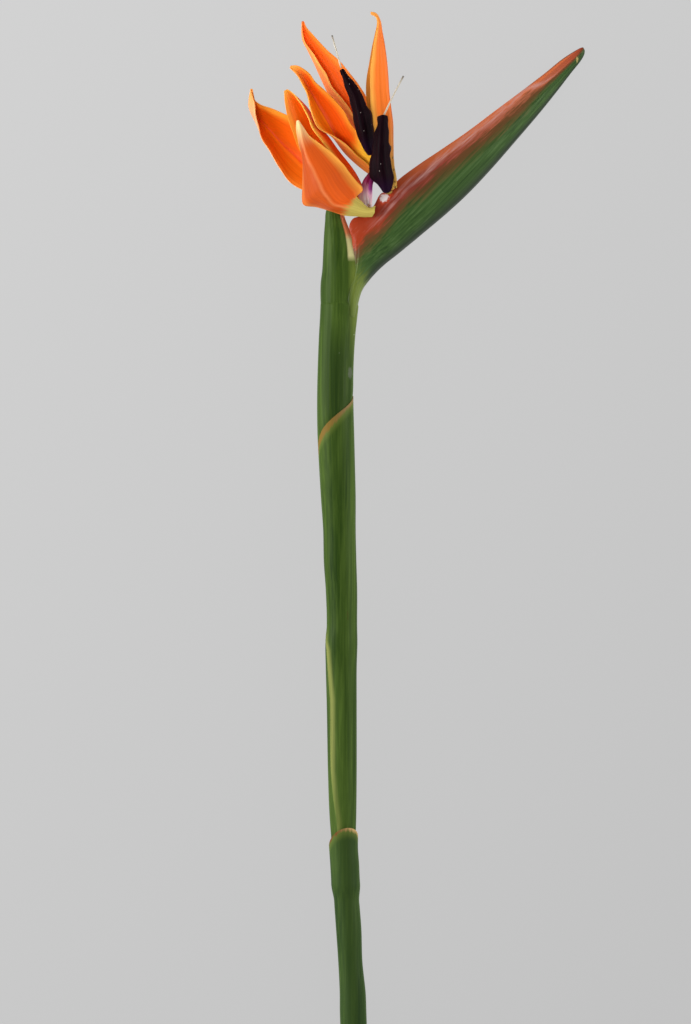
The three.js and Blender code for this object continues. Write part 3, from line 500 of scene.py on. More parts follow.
def bract(name, rows, grid, wall, tags=lambda outer: {}):
    """A leaf folded at its keel: each row rises from the keel to the mouth, widest half way up."""
    v = np.linspace(0, 1, grid[0])
    u = np.linspace(-1, 1, grid[1])
    keel = spline([(kx, ky, z) for kx, ky, _, _, z, _, _ in rows], v)[:, None]
    margin = spline([(mx, my, z) for _, _, mx, my, z, _, _ in rows], v)[:, None]
    size = spline([(half, share, 0) for *_, half, share in rows], v)
    height = np.abs(u) ** KEEL_PACKING
    full = np.where(height < WIDEST, np.sqrt(np.clip(1 - (1 - height / WIDEST) ** 2, 0, 1)),
                    1 - (1 - size[:, 1:2]) * (np.clip(height - WIDEST, 0, 1) / (1 - WIDEST)) ** 2)
    half = size[:, :1] * full
    outer = keel + (margin - keel) * height[None, :, None]
    outer[..., 2] += np.sign(u)[None, :] * half
    normal = unit(np.cross(np.gradient(outer, axis=1), np.gradient(outer, axis=0)))
    middle = (keel + margin) / 2
    normal *= np.sign(np.sum(normal * (middle - outer), axis=-1, keepdims=True))
    outer = outer - normal * bract_relief(u[None, :], v[:, None])[..., None]
    thick = wall[0] + (wall[1] - wall[0]) * height[None, :]
    thick = np.minimum(thick, WALL_LIMIT * size[:, :1])[..., None]
    shape = outer.shape[:2]
    tags = {"height": np.broadcast_to(height, shape), "along": np.broadcast_to(v[:, None], shape),
            "reach": outer[..., 1], **tags(outer)}
    return skin(name, [outer + normal * thick, outer], tags)


# the border between red and green, x and y
RED_BORDER = [(5.75, 479), (9.75, 484), (16.75, 489.5), (22.25, 495.5), (27, 502), (31.75, 507),
              (39.75, 511.5), (46.75, 519), (60.75, 529.5), (74.75, 540.5), (93.25, 557.6), (105.25, 567.8),
              (115.25, 577.4), (120, 583)]


def spathe_tags(outer):
    """Distance from the border, more than 0 where the leaf is red. It counts for more near the tip,
    where the border is sharper."""
    border = np.interp(outer[..., 0], [row[0] for row in RED_BORDER], [row[1] for row in RED_BORDER])
    return {"red": 0.7 * (outer[..., 1] - border) * (1 + 5 * ease(outer[..., 0], 90, 112))}


spathe = bract("spathe_shell", SPATHE, SPATHE_GRID, SPATHE_WALL, spathe_tags)

# Waxy leaf skin, green below a red side with a painted highlight of pale sheen along it, and dried dark
# along the lips of the mouth.
VEIN_MM, VEINS_ALONG = 1.0, 10  # spacing of the veins, and streaks to a metre along them
BOAT_TURN, BOAT_DIP = -46, -8  # the veins follow the boat: degrees off the X axis and downward
JOINT_LINE, JOINT_SQUARE = (7, 470, 0), (0.84, 0.55, 0)  # a point on the line, and square to it
JOINT_BLUR = 5 * MM
spathe_skin, tree = new_material("waxy_bract_skin")
place = add(tree, "TexCoord", out=3)
along = add(tree, "Attribute", out=2, attribute_name="along")
height = add(tree, "Attribute", out=2, attribute_name="height")
level_place = add(tree, "VectorRotate", {"Vector": place, "Angle": math.radians(BOAT_TURN)},
                  rotation_type="Z_AXIS")
level_place = add(tree, "VectorRotate", {"Vector": level_place, "Angle": math.radians(BOAT_DIP)},
                  rotation_type="Y_AXIS")
veins = grain(tree, level_place, (VEINS_ALONG, METRE / VEIN_MM, METRE / VEIN_MM), 3.0, 0.6)
green = add(tree, "ValToRGB", {"Fac": veins}, stops=[
    (0.28, "#2C451E"), (0.74, "#567240"), (0.5, "#3E5B2A")])
green = fade(tree, green, "#2C3828", height, 0.22, 0.02, soft=True)  # painted shade, darker along the keel
green = fade(tree, green, "#2A3E1C", along, 0.75, 1.0, 0.6)  # darker green toward the tip
# the bract's own dull green begins at a line square to the boat, above the joint
from_joint = add(tree, "VectorMath", {0: place, 1: ORIGIN + np.array(JOINT_LINE) * MM},
                 operation="SUBTRACT")
from_joint = add(tree, "VectorMath", {0: from_joint, 1: JOINT_SQUARE}, out=1, operation="DOT_PRODUCT")
green = fade(tree, green, joint_green(tree, leaf_green(tree)[0]),
             fray(tree, from_joint, veins, JOINT_BLUR, 0.3, 0.7), JOINT_BLUR, -JOINT_BLUR, soft=True)
red = add(tree, "ValToRGB", {"Fac": along}, stops=[
    (0.1, "#B03C14"), (1.0, "#5A2418"), (0.3, "#A43C20"), (0.45, "#8C3428"), (0.6, "#A04634"),
    (0.75, "#C06A48"), (0.88, "#B05030"), (0.95, "#8A3820")])
rim_red = add(tree, "ValToRGB", {"Fac": along}, stops=[
    (0.1, "#B44014"), (1.0, "#3C1C14"), (0.28, "#A4381C"), (0.45, "#A03822"), (0.6, "#DA6E3A"),
    (0.85, "#E0703A"), (0.93, "#B8482A")])
red = fade(tree, red, rim_red, height, 0.78, 0.92, soft=True)
red = fade(tree, red, "#C88478", veins, 0.55, 0.8, 0.3)
# a painted highlight: a streak of pale sheen runs along the red side
above = add(tree, "Attribute", out=2, attribute_name="red")
painted_sheen = add(tree, "MapRange", {"Value": above, "From Max": 10.0})
painted_sheen = add(tree, "ValToRGB", {"Fac": painted_sheen}, stops=[(0.3, 0.0), (0.75, 0.0), (0.48, 1.0)])
painted_sheen = add(tree, "Math", {0: painted_sheen, 1: add(tree, "MapRange", {
    "Value": veins, "From Min": 0.35, "From Max": 0.65, "To Max": 0.75})}, operation="MULTIPLY")
painted_sheen = add(tree, "Math", {0: painted_sheen, 1: add(tree, "ValToRGB", {"Fac": along}, stops=[
    (0.27, 0.0), (0.9, 0.0), (0.42, 1.0), (0.78, 1.0)])}, operation="MULTIPLY")
red = add(tree, "Mix", {0: painted_sheen, 6: red, 7: "#D8A8A0"}, out=2, data_type="RGBA")
# green, then a strip of maroon, then red
border = fray(tree, above, veins, 2.2, 0.25, 0.75)
colour = fade(tree, green, "#6A4526", border, -5.0, 0.8, soft=True)
colour = fade(tree, colour, red, border, 0.2, 3.6, soft=True)
# painted highlight on wet nectar under the first flower's arrow: a white glint inside a ring of brighter
# red
colour = patch(tree, colour, (19.6, 507.2, 26), (4.2, 3.6, 8), "#D04C2C")
colour = patch(tree, colour, (19.4, 506.8, 26), (2.5, 2.1, 8), "#FFFAF6")
colour = patch(tree, colour, (116.1, 576.8, 4), (0.7, 1.9, 6), "#B8A868")  # a dried streak at the tip
# the lips of the mouth have dried dark toward the tip
lip = add(tree, "Math", {
    0: add(tree, "MapRange", {"Value": height, "From Min": 0.9, "From Max": 1.0, "To Max": 0.9}),
    1: add(tree, "MapRange", {"Value": along, "From Min": 0.72, "From Max": 0.86})}, operation="MULTIPLY")
colour = add(tree, "Mix", {0: lip, 6: colour, 7: "#4A3A2C"}, out=2, data_type="RGBA")
# the inside of the boat is pale
outside = add(tree, "Attribute", out=2, attribute_name="outside")
colour = fade(tree, colour, "#D8B48C", outside, 0.6, 0.2)
bumps = add(tree, "Bump", {"Height": veins, "Strength": 0.3, "Distance": 0.25 * MM})
skin_finish(tree, colour, 0.4, 0.15, bumps)
dress(spathe, spathe_skin, "bract", "spathe")


# ---- Inner bract ----
# The small second bract goes straight on from the stem, clasps the flowers' stalks from the left and
# is green with an orange edge, which dries to a cream membrane down to the fork.
INNER_BRACT = [
    (-11.6, 446, 4.2, 447, 19.6, 8.3, 0.45), (-12.35, 454, 5, 455, 19.9, 8.95, 0.5),
    (-12.4, 464, 6.2, 466, 20.2, 8.9, 0.8), (-11.6, 471, 6, 474, 20.4, 8.5, 0.88),
    (-11.2, 479, 4.7, 482, 20.6, 7.6, 0.85), (-10.8, 488, 2.2, 490.4, 20.7, 6.6, 0.78),
    (-10.3, 495, -0.2, 496.8, 20.8, 5.4, 0.6), (-9.9, 500, -1.6, 501.4, 20.8, 4.4, 0.5),
    (-8.6, 503.6, -3.4, 504.2, 20.9, 3.2, 0.5), (-6.6, 505.4, -5.2, 505.6, 20.9, 1.6, 0.5),
]
INNER_BRACT_WALL = (1.3, 0.7)
INNER_BRACT_GRID = (90, 65)

inner_bract = bract("inner_bract_shell", INNER_BRACT, INNER_BRACT_GRID, INNER_BRACT_WALL)

# Waxy green leaf skin; the dried edge is a cream membrane near the fork and an orange strip above it.
MEMBRANE_START, MEMBRANE_END = (475, 478), (486, 489.5)  # it starts here and turns orange there
EDGE_Y, EDGE_HEIGHT = (477, 489), (0.74, 0.8)  # levels, and the share of the height it starts at
inner_skin, tree = new_material("waxy_inner_bract_skin")
green, streaks = leaf_green(tree)
height = add(tree, "Attribute", out=2, attribute_name="height")
reach = add(tree, "Attribute", out=2, attribute_name="reach")
green = fade(tree, green, joint_green(tree, green), reach, 484.0, 470.0)
foot = add(tree, "MapRange", {"Value": reach, "From Min": EDGE_Y[0], "From Max": EDGE_Y[1],
                              "To Min": EDGE_HEIGHT[0], "To Max": EDGE_HEIGHT[1]})
membrane = add(tree, "MapRange", {"Value": add(tree, "Math", {0: height, 1: foot}, operation="SUBTRACT"),
                                  "From Min": -0.02, "From Max": 0.03})
membrane = add(tree, "Math", {0: membrane, 1: add(tree, "MapRange", {
    "Value": reach, "From Min": MEMBRANE_START[0], "From Max": MEMBRANE_START[1]})},
    operation="MULTIPLY")
edge = fade(tree, "#CEC88C", "#E08458", reach, *MEMBRANE_END)
colour = add(tree, "Mix", {0: membrane, 6: green, 7: edge}, out=2, data_type="RGBA")
leaf_finish(tree, colour, streaks)
dress(inner_bract, inner_skin, "bract", "inner_bract")


# ---- Flower stalks ----
# Inside the boat each flower stands on a short pale stalk, its ovary, which swells in the middle
# and is hidden by the bract's side.
OVARIES = {
    "flower_a_ovary": (
        (8, 478.6, 20.6, 2.6), (10.6, 490, 20.6, 3.6), (11, 497, 21.8, 3.4), (10.8, 503.4, 24, 2.4),
    ),
    "flower_b_ovary": (
        (14.6, 482, 20.2, 2.4), (18.5, 493.5, 19.5, 3.4), (20.8, 503, 21, 3.2), (21.8, 511, 24.6, 2),
    ),
}
# Pale smooth skin with faint lines, browner where it passes into the sepals.
LINES_ACROSS, LINES_ALONG = 900, 60  # fine lines to a metre
pale_skin, tree = new_material("pale_green_ovary_skin")
lines = grain(tree, add(tree, "TexCoord", out=3), (LINES_ACROSS, LINES_ALONG, LINES_ACROSS))
colour = add(tree, "ValToRGB", {"Fac": lines}, stops=[(0.3, "#B4BC7C"), (0.7, "#DAD8A6")])
along = add(tree, "Attribute", out=2, attribute_name="along")
bumps = add(tree, "Bump", {"Height": lines, "Strength": 0.3, "Distance": 0.2 * MM})
skin_finish(tree, fade(tree, colour, "#A88A34", along, 0.6, 0.75), 0.5, 0.5, bumps)


def rod(name, rows, around=25, steps=60):
    """A round stalk through rows of x, y, z and radius."""
    shares = np.linspace(0, 1, steps)
    centres = spline([row[:3] for row in rows], shares)
    radii = spline([(row[3], row[1], 0) for row in rows], shares)[:, 0]
    turns = np.linspace(-math.pi, math.pi, around)
    face = rings(centres, radii[:, None], turns)
    return skin(name, [face], {"along": np.broadcast_to(shares[:, None], face.shape[:2])},
                closed=True, capped=True)


for name, rows in OVARIES.items():
    dress(rod(name + "_stalk", rows), pale_skin, "ovary", name)


# ---- Sepals ----
# Three orange sepals to a flower, stiff and satin, folded along a rib into a trough. The inner face
# is deep orange, the outer face paler, the edges amber, and the foot fades to yellow-green.
# each row from foot to tip: left margin, rib, right margin
SEPALS = {
    "flower_a_sepal_1": (
        ((13.2, 497.6, 29.4), (14.4, 500.2, 31.4), (14.9, 502.6, 30.4)),
        ((9.5, 497.6, 29.4), (10.5, 499.8, 32.2), (11.8, 501.6, 30.6)),
        ((4.5, 498, 29.2), (5.5, 500.9, 33.4), (8, 504.8, 30.8)),
        ((-1, 498.7, 28.6), (1.5, 502, 34.6), (5.4, 507.6, 31)),
        ((-7.4, 500.4, 27.8), (-5.2, 503.6, 34.8), (8.4, 511.2, 31.2)),
        ((-14.2, 502.5, 27), (-9.2, 507.2, 36.2), (5.4, 515, 31.4)),
        ((-20.5, 503.5, 26.6), (-11.9, 511.2, 36.7), (1.4, 520, 31.6)),
        ((-21.2, 506, 26.8), (-13.1, 514.2, 36.7), (-0.2, 522.4, 31.7)),
        ((-21.3, 512.6, 27.4), (-15.2, 518.8, 36.2), (-3.6, 525.8, 32)),
        ((-21.1, 520, 28.2), (-17.5, 523.8, 35.6), (-8, 530, 32)),
        ((-21.4, 528, 29), (-19.6, 529.3, 34.4), (-13, 533.8, 31.6)),
        ((-22.9, 533.8, 29.6), (-21.5, 535.1, 33.1), (-18, 537.6, 31.2)),
        ((-24.3, 540.5, 30), (-22.5, 540.7, 32.2), (-21, 541.5, 30.9)),
        ((-24.3, 545.1, 31), (-23.8, 545.4, 31.5), (-23.5, 545.3, 31.2)),
    ),
    "flower_a_sepal_2": (
        ((7.6, 504.4, 24.6), (9, 505.64, 23), (9.4, 507.2, 25)),
        ((3, 508, 24.2), (7.7, 512.1, 21.5), (6.2, 511.5, 26)),
        ((-4, 513, 23.6), (4.3, 518.9, 20.5), (1.5, 517, 26.8)),
        ((-12, 519.8, 23.2), (0.1, 524.6, 20), (-4.2, 524, 27)),
        ((-18.6, 525.8, 23), (-4.5, 530.2, 19.5), (-9, 531, 27)),
        ((-23.2, 531.4, 23.5), (-9.1, 536.6, 19.5), (-13, 536.5, 27)),
        ((-25.4, 537.5, 23.8), (-13.1, 541.6, 18.6), (-16.6, 541.4, 25.8)),
        ((-27.4, 542.8, 24), (-16.5, 546.4, 18), (-18.9, 546.6, 24.6)),
        ((-29.2, 549, 24.2), (-19.9, 551.4, 18.8), (-21, 551.4, 24)),
        ((-30, 554.8, 24.6), (-23.5, 555.6, 20.8), (-23.5, 555.4, 24.4)),
        ((-30.4, 558.6, 25), (-26.6, 558.64, 22.8), (-26, 558.4, 24.8)),
        ((-30.5, 560.4, 25.2), (-29.4, 560.84, 24.8), (-28.2, 560.4, 25.2)),
    ),
    "flower_a_sepal_3": (
        ((7.4, 502.2, 21.8), (8.4, 503.8, 20.8), (9, 505.4, 21.8)),
        ((1.8, 506, 20.2), (3.4, 508.6, 17.4), (6.4, 511, 20)),
        ((-7.6, 508.4, 17.1), (-4.6, 513.6, 13.6), (1.5, 519, 18.2)),
        ((-16.4, 509.8, 14.1), (-13, 519, 9.6), (-5, 528, 16.6)),
        ((-23.3, 512.2, 12.1), (-20, 523.8, 5.8), (-11.5, 536, 15.2)),
        ((-28.6, 516.1, 10.6), (-26, 529.2, 3), (-17.5, 542, 14)),
        ((-33.1, 523.1, 9.6), (-31.5, 534.6, 1.4), (-25, 546.8, 13)),
        ((-37.4, 530.3, 9.1), (-36.6, 540, 1.1), (-32, 549.6, 12.1)),
        ((-41.8, 537, 9.4), (-41.4, 545, 2.2), (-38.4, 552.2, 11.6)),
        ((-43.4, 543, 11.1), (-45.8, 549.2, 4.6), (-43, 554, 11.6)),
        ((-44.6, 549.3, 13.1), (-47.9, 553.2, 8.1), (-45.2, 555.8, 12.6)),
        ((-45.4, 555, 15.1), (-47.8, 557.6, 12), (-46.2, 558.6, 14.6)),
        ((-47.4, 561, 17), (-47.1, 561.5, 16.7), (-46.7, 561.2, 17.1)),
    ),
    "flower_b_sepal_1": (
        ((18.4, 513.2, 24.6), (19.2, 513.6, 23.4), (20.2, 515.2, 24.8)),
        ((15, 519.2, 25), (15.2, 517.6, 21.6), (17.6, 521.4, 25)),
        ((10.4, 524.6, 25.2), (9.8, 521.4, 20), (13.2, 527.4, 25.2)),
        ((5.4, 528.8, 25.2), (4.2, 526.2, 19), (8.4, 533.6, 25.2)),
        ((0.5, 533.4, 25), (-0.2, 530.8, 18.2), (5.6, 539.4, 25)),
        ((-4.8, 537.2, 24.8), (-3.6, 536, 18), (2.6, 543.6, 24.8)),
        ((-10.2, 540, 24.6), (-7, 541.8, 18), (-0.9, 550.2, 24.6)),
        ((-14, 543, 25.2), (-10, 547, 18.4), (-5.9, 556.2, 24.4)),
        ((-16.2, 547.6, 25.6), (-13.6, 553, 19), (-11, 560.8, 24.2)),
        ((-17.8, 553, 25.4), (-16.8, 558.6, 19.8), (-15, 564.5, 24)),
        ((-19, 559, 24.8), (-19.8, 564.2, 20.6), (-18.2, 569, 23.8)),
        ((-21.6, 564.6, 24), (-22.9, 568.8, 21.4), (-21.9, 571.9, 23.6)),
        ((-24.4, 568.9, 23.8), (-25.2, 570.9, 22.6), (-24.8, 573, 23.6)),
        ((-27.4, 571.9, 23.1), (-27.7, 572.4, 22.8), (-27.5, 572.9, 23.1)),
    ),
    "flower_b_sepal_2": (
        ((21.6, 514, 22.6), (22.6, 514.4, 21.2), (23.6, 514.8, 22.4)),
        ((18.8, 521, 21), (19, 520.6, 18), (21.6, 523.4, 21)),
        ((14.4, 528, 19.5), (13.6, 527, 14.8), (18, 533.6, 19)),
        ((9.8, 536.4, 18.5), (8.2, 535, 12.8), (14.6, 543, 17.5)),
        ((5.8, 544.6, 18), (3.2, 541.8, 11.8), (12.5, 551, 16.5)),
        ((2.2, 551.6, 17.5), (-1.4, 549.4, 11.2), (10.4, 557.5, 16)),
        ((-2.8, 558.2, 17.2), (-6.4, 557.4, 11), (6.7, 563.6, 15.5)),
        ((-6.8, 563.4, 17), (-10, 564.8, 11), (2.2, 569.4, 15.2)),
        ((-9.8, 569.4, 16.8), (-13.1, 571.4, 11.2), (-2.9, 575.4, 15)),
        ((-13, 574.2, 16.4), (-15.8, 577.2, 11.6), (-8.5, 580.4, 14.8)),
        ((-16.4, 579.8, 16), (-18.4, 582.2, 12), (-13.1, 585.2, 14.6)),
        ((-20, 585.2, 15.6), (-20.8, 586.6, 12.6), (-16.8, 589.4, 14.6)),
        ((-21.4, 589.7, 15.2), (-21.5, 590.6, 13.2), (-19.6, 592.4, 14.4)),
        ((-21.6, 595.2, 14.5), (-21.4, 595.6, 14.1), (-21, 595.4, 14.4)),
    ),
    "flower_b_sepal_3": (
        ((23.2, 510.6, 27.4), (24.7, 511.6, 27.6), (24.9, 513, 26.2)),
        ((21.4, 515.6, 27), (24.4, 516.6, 26.7), (24.1, 518.4, 24.6)),
        ((19, 521.4, 26.5), (23.6, 521.8, 25.3), (21.8, 525, 23)),
        ((16.8, 528.4, 26), (23.1, 528.4, 23.8), (17.6, 532, 22)),
        ((15.4, 536, 25.6), (23, 536, 22.4), (14.4, 538, 21.2)),
        ((13.8, 543.6, 25.4), (22.9, 544, 22), (12.2, 545.6, 20.8)),
        ((12.6, 551.6, 25.2), (22, 551.4, 21.6), (10.8, 553, 20.4)),
        ((12.2, 559.4, 25), (21, 559.6, 21.2), (10.2, 560, 20)),
        ((12.2, 567, 24.8), (20.5, 567.6, 20.8), (10.5, 566.8, 19.6)),
        ((13, 575.2, 24.4), (19.8, 575.6, 20.4), (11.7, 574, 19)),
        ((14, 582.8, 23.8), (18.7, 583.6, 20), (13.2, 582.4, 18.4)),
        ((15.2, 589.6, 23), (17.7, 589.6, 19.6), (14.8, 589.6, 18)),
        ((15.8, 594.8, 21.8), (16.8, 595.8, 19.4), (15.8, 594.8, 18.2)),
        ((14.9, 597.6, 20.6), (15, 599.1, 19.4), (14.9, 597.6, 18.3)),
        ((12.7, 598.7, 19.9), (12.5, 599.8, 19.4), (12.7, 598.7, 18.9)),
    ),
}
SEPAL_CREASE = 0.22  # how sharply the section turns at the rib; 1 is an even curve
SEPAL_WALL = (1.0, 0.45)  # at the rib and at the margins
SEPAL_RIB, SEPAL_WAVE = 0.05, 0.16  # height of the fine ribs and of the margin's waves
TIP_THINNING = (0.7, 1)  # over this stretch a petal's wall thins to that of its margins
SEPAL_GRID = (41, 141)  # points across it and along it


def blade(name, rows, crease, wall, grid, relief=lambda u, v: 0 * (u + v)):
    """A petal through its margins and rib. The rows give its inner face, and its wall lies outside
    the fold, thins from the rib to the margins and again to the tip."""
    u = np.linspace(-1, 1, grid[0])
    v = np.linspace(0, 1, grid[1])
    left, rib, right = (spline([row[k] for row in rows], v)[:, None] for k in range(3))
    fold = (left + right) / 2 - rib
    lift = (np.hypot(u, crease) - crease) / (math.hypot(1, crease) - crease)
    inner = rib + (right - left) * u[None, :, None] / 2 + fold * lift[None, :, None]
    normal = unit(np.cross(np.gradient(inner, axis=1), np.gradient(inner, axis=0)))
    middle = (grid[1] // 2, grid[0] // 2)
    normal *= -np.sign(np.sum(normal[middle] * fold[middle[0], 0]))
    inner = inner + normal * relief(u[None, :], v[:, None])[..., None]
    thick = wall[0] + (wall[1] - wall[0]) * u[None, :] ** 2
    thick = thick + (wall[1] - thick) * ease(v, *TIP_THINNING)[:, None]
    shape = inner.shape[:2]
    tags = {"across": np.broadcast_to(u, shape), "along": np.broadcast_to(v[:, None], shape)}
    return skin(name, [inner, inner + normal * thick[..., None]], tags)


def sepal_relief(u, v):
    """Shallow lengthwise ribs, and a margin that waves a little."""
    ribs = SEPAL_RIB * np.cos(26 * u) * ease(1 - v, 0, 0.3)
    wave = SEPAL_WAVE * np.abs(u) ** 5 * (np.sin(19 * v + 2 * u) + 0.6 * np.sin(41 * v + u))
    return ribs + wave * ease(v, 0.05, 0.2) * ease(1 - v, 0.02, 0.2)


def petal_streaks(tree, half_width, length, detail, face=0.0):
    """Streaks that follow a petal: so many from its rib to its margin and from its foot to its tip."""
    across, along = (add(tree, "Attribute", out=2, attribute_name=tag) for tag in ("across", "along"))
    spot = add(tree, "CombineXYZ", {
        "X": add(tree, "Math", {0: across, 1: half_width}, operation="MULTIPLY"),
        "Y": add(tree, "Math", {0: along, 1: length}, operation="MULTIPLY"), "Z": face})
    return add(tree, "TexNoise", {"Vector": spot, "Scale": 1.0, "Detail": detail})


SEPAL_VEINS = 12.0  # from the rib to a margin, which puts them 1 mm apart in the widest part
# which of the five colours lies where, from the left margin to the right one
COLOUR_PLACES = ((0, 0.02), (4, 0.98), (1, 0.14), (1, 0.45), (2, 0.5), (3, 0.55), (3, 0.84))


def sepal_material(name, inner, outer, foot, tip, spots=()):
    """Satin orange petal skin. inner and outer: five colours from the left margin over the rib to the
    right one; foot and tip: colours and where they have faded out along the petal; spots: patches."""
    made, tree = new_material(name)
    across, along, outside = (add(tree, "Attribute", out=2, attribute_name=tag)
                              for tag in ("across", "along", "outside"))
    veins = petal_streaks(tree, SEPAL_VEINS, 1.6, 1.5, outside)
    clouds = petal_streaks(tree, 1.6, 5.0, 2.0, outside)
    spread = add(tree, "MapRange", {"Value": fray(tree, across, clouds, 0.1), "From Min": -1.0})
    sides = [add(tree, "ValToRGB", {"Fac": spread}, stops=[
        (place, colours[i]) for i, place in COLOUR_PLACES]) for colours in (inner, outer)]
    colour = add(tree, "Mix", {0: outside, 6: sides[0], 7: sides[1]}, out=2, data_type="RGBA")
    wander = fray(tree, along, veins, 0.04)
    foot_inner, foot_outer, share, softness = foot
    foot_colour = add(tree, "Mix", {0: outside, 6: foot_inner, 7: foot_outer}, out=2, data_type="RGBA")
    colour = fade(tree, colour, foot_colour, wander, share + softness, share - softness, soft=True)
    colour = fade(tree, colour, tip[0], wander, tip[1] - 0.1, tip[1] + 0.12, soft=True)
    shade = add(tree, "ValToRGB", {"Fac": veins}, stops=[(0.25, "#E2DAD2"), (0.7, "#FFFFFF")])
    colour = add(tree, "Mix", {0: 0.8, 6: colour, 7: shade}, out=2, data_type="RGBA",
                 blend_type="MULTIPLY")
    for spot in spots:
        colour = patch(tree, colour, *spot)
    relief = add(tree, "MapRange", {"Value": along, "From Min": 0.75, "From Max": 0.55, "To Max": 0.15})
    bumps = add(tree, "Bump", {"Height": veins, "Strength": relief, "Distance": 0.2 * MM})
    skin_finish(tree, colour, 0.42, 0.1, bumps)
    return made


SEPAL_COLOURS = {
    "flower_a_sepal_1": (
        ("#F0A848", "#F06A1A", "#E04A08", "#F06A1A", "#F0A848"),
        # outer face: the pale third colour, a narrow stripe on the rib, is a painted highlight
        ("#CC6C2C", "#B44A14", "#CC6C38", "#CC5214", "#F4A444"),
        ("#B4A84C", "#B4A452", 0.235, 0.035), ("#ECC488", 0.87),
        # the two small dark patches at the foot are painted shade where the small petal meets it
        (((14.9, 500.6, 30), (0.4, 1.5, 9), "#7C6A30"), ((15.5, 498.4, 30), (0.7, 0.5, 9), "#6E5A28"))),
    "flower_a_sepal_2": (
        ("#F0942A", "#F06E10", "#EE5406", "#F2661A", "#F8B648"),
        ("#F8882A", "#FF6A1A", "#F85C10", "#FF5612", "#F8B648"),
        ("#E8901E", "#D8801E", 0.08, 0.07), ("#F2A23C", 0.9)),
    "flower_a_sepal_3": (
        ("#F68A28", "#E87010", "#DA4804", "#DE5A08", "#F0962C"),
        ("#EBB884", "#E8A070", "#E08C54", "#E8A070", "#EBB884"),
        ("#E8901E", "#D8801E", 0.08, 0.07), ("#F4A44C", 0.9)),
    "flower_b_sepal_1": (
        ("#F8AC44", "#FC8414", "#DA4A04", "#DE4E04", "#DC7E20"),
        ("#F0A850", "#DC7830", "#D4702C", "#DC7830", "#E89A40"),
        ("#F0B634", "#DC8234", 0.26, 0.07), ("#F0983E", 0.84)),
    "flower_b_sepal_2": (
        ("#F8B05C", "#FF8026", "#FC640A", "#FC660E", "#F88428"),
        ("#FFB054", "#F88C4C", "#F07C3E", "#EC8450", "#E2A868"),
        ("#E8901E", "#D8801E", 0.08, 0.07), ("#F0782A", 0.95)),
    "flower_b_sepal_3": (
        # inner face: darker orange as painted shade on the far half
        ("#DF953C", "#B8540E", "#A4400A", "#A4480C", "#C87A24"),
        ("#F0A848", "#EA7426", "#CC5C26", "#C05218", "#E08830"),
        # foot: a wide browner fade, partly the real yellow foot and partly painted shade on the lower part
        ("#A88840", "#B4883C", 0.27, 0.2), ("#F0A048", 0.86),
        (((24.9, 512.2, 26), (0.7, 0.8, 9), "#4E3C20"), ((24.6, 515.0, 26), (0.6, 0.6, 9), "#54401E"),
         ((24.2, 521.0, 26), (0.5, 0.7, 9), "#6E4E20"), ((23.6, 527.0, 26), (0.5, 0.7, 9), "#6E4E20"))),
}
for name, rows in SEPALS.items():
    sepal = blade(name + "_petal", rows, SEPAL_CREASE, SEPAL_WALL, SEPAL_GRID, sepal_relief)
    dress(sepal, sepal_material(name + "_satin_petal_skin", *SEPAL_COLOURS[name]), "sepal", name)


# ---- Arrow petals ----
# Two dark violet petals of each flower, grown together into an arrow round the stamens. The arrow
# stands on a narrow purple claw, and its two halves meet in a ridge along the middle.
ARROWS = {
    "flower_a_arrow": {
        "rows": (
            ((19.3, 510.7, 35.2), (20.6, 510, 35.8), (21.7, 510.3, 35.2)),
            ((16.6, 513, 35), (19.9, 513.6, 37.4), (23.2, 512.6, 35)),
            ((12.8, 516.8, 34.8), (19.2, 518, 38.6), (23.6, 516.6, 34.8)),
            ((12, 521.2, 34.8), (18.4, 523, 39), (22.9, 522, 34.8)),
            ((12.9, 526.4, 35), (18.2, 527, 39.2), (21.7, 527.4, 35)),
            ((13.7, 530.6, 35.1), (18.2, 530.8, 39.2), (22.5, 530.8, 35.1)),
            ((14, 534.4, 35.2), (18.3, 534.6, 39.1), (21.1, 534, 35.2)),
            ((15, 538.6, 35.4), (18.5, 539, 39), (21.1, 539, 35.4)),
            ((16.4, 543.4, 35.8), (18.6, 543.8, 38.6), (20.9, 543.4, 35.8)),
            ((16.3, 547.2, 36.4), (18.5, 547.9, 37.8), (20.3, 547.6, 36.4)),
        ),
        "claw": ((14.4, 518.6, 35.6, 1.2), (12.7, 514, 33, 1.05), (12.4, 508.5, 30, 1),
                 (12.4, 502.6, 27.6, 0.9)),
    },
    "flower_b_arrow": {
        "rows": (
            ((11.9, 529.2, 28.6), (12.8, 529.1, 29.4), (13.8, 529.3, 28.8)),
            ((9.3, 532.8, 28.4), (11, 533, 31), (14, 533, 28.8)),
            ((6.9, 537, 28.2), (9.9, 538, 32), (13.9, 538, 28.8)),
            ((5.1, 542, 28), (8.9, 543.5, 32.2), (13.6, 543.6, 28.8)),
            ((4.3, 547.6, 28), (7.9, 549, 32.2), (12.3, 550, 28.6)),
            ((3.5, 551.8, 28), (6.9, 552.6, 31.8), (10.1, 552.8, 28.6)),
            ((2.2, 556.8, 28), (5.6, 557.2, 31.4), (8.1, 557.2, 28.6)),
            ((0.2, 562.4, 28.2), (2.7, 563, 30.6), (3.9, 563, 28.6)),
            ((-1.2, 567, 28.6), (0.2, 567.2, 29.8), (0.8, 567.4, 28.8)),
            ((-2.4, 570.7, 29), (-2, 571, 29.4), (-1.6, 570.9, 29.1)),
        ),
        "claw": ((12.4, 533, 29.4, 1), (14.8, 526, 28.2, 1), (17.6, 519.4, 27.4, 0.9),
                 (20.2, 513, 26.9, 0.9)),
    },
}
ARROW_CREASE = 0.3
ARROW_WALL = (2.2, 0.7)
ARROW_FOLD, ARROW_PUCKER = 0.22, 0.25  # height of the folds and of the edge's puckers
ARROW_GRID = (33, 101)
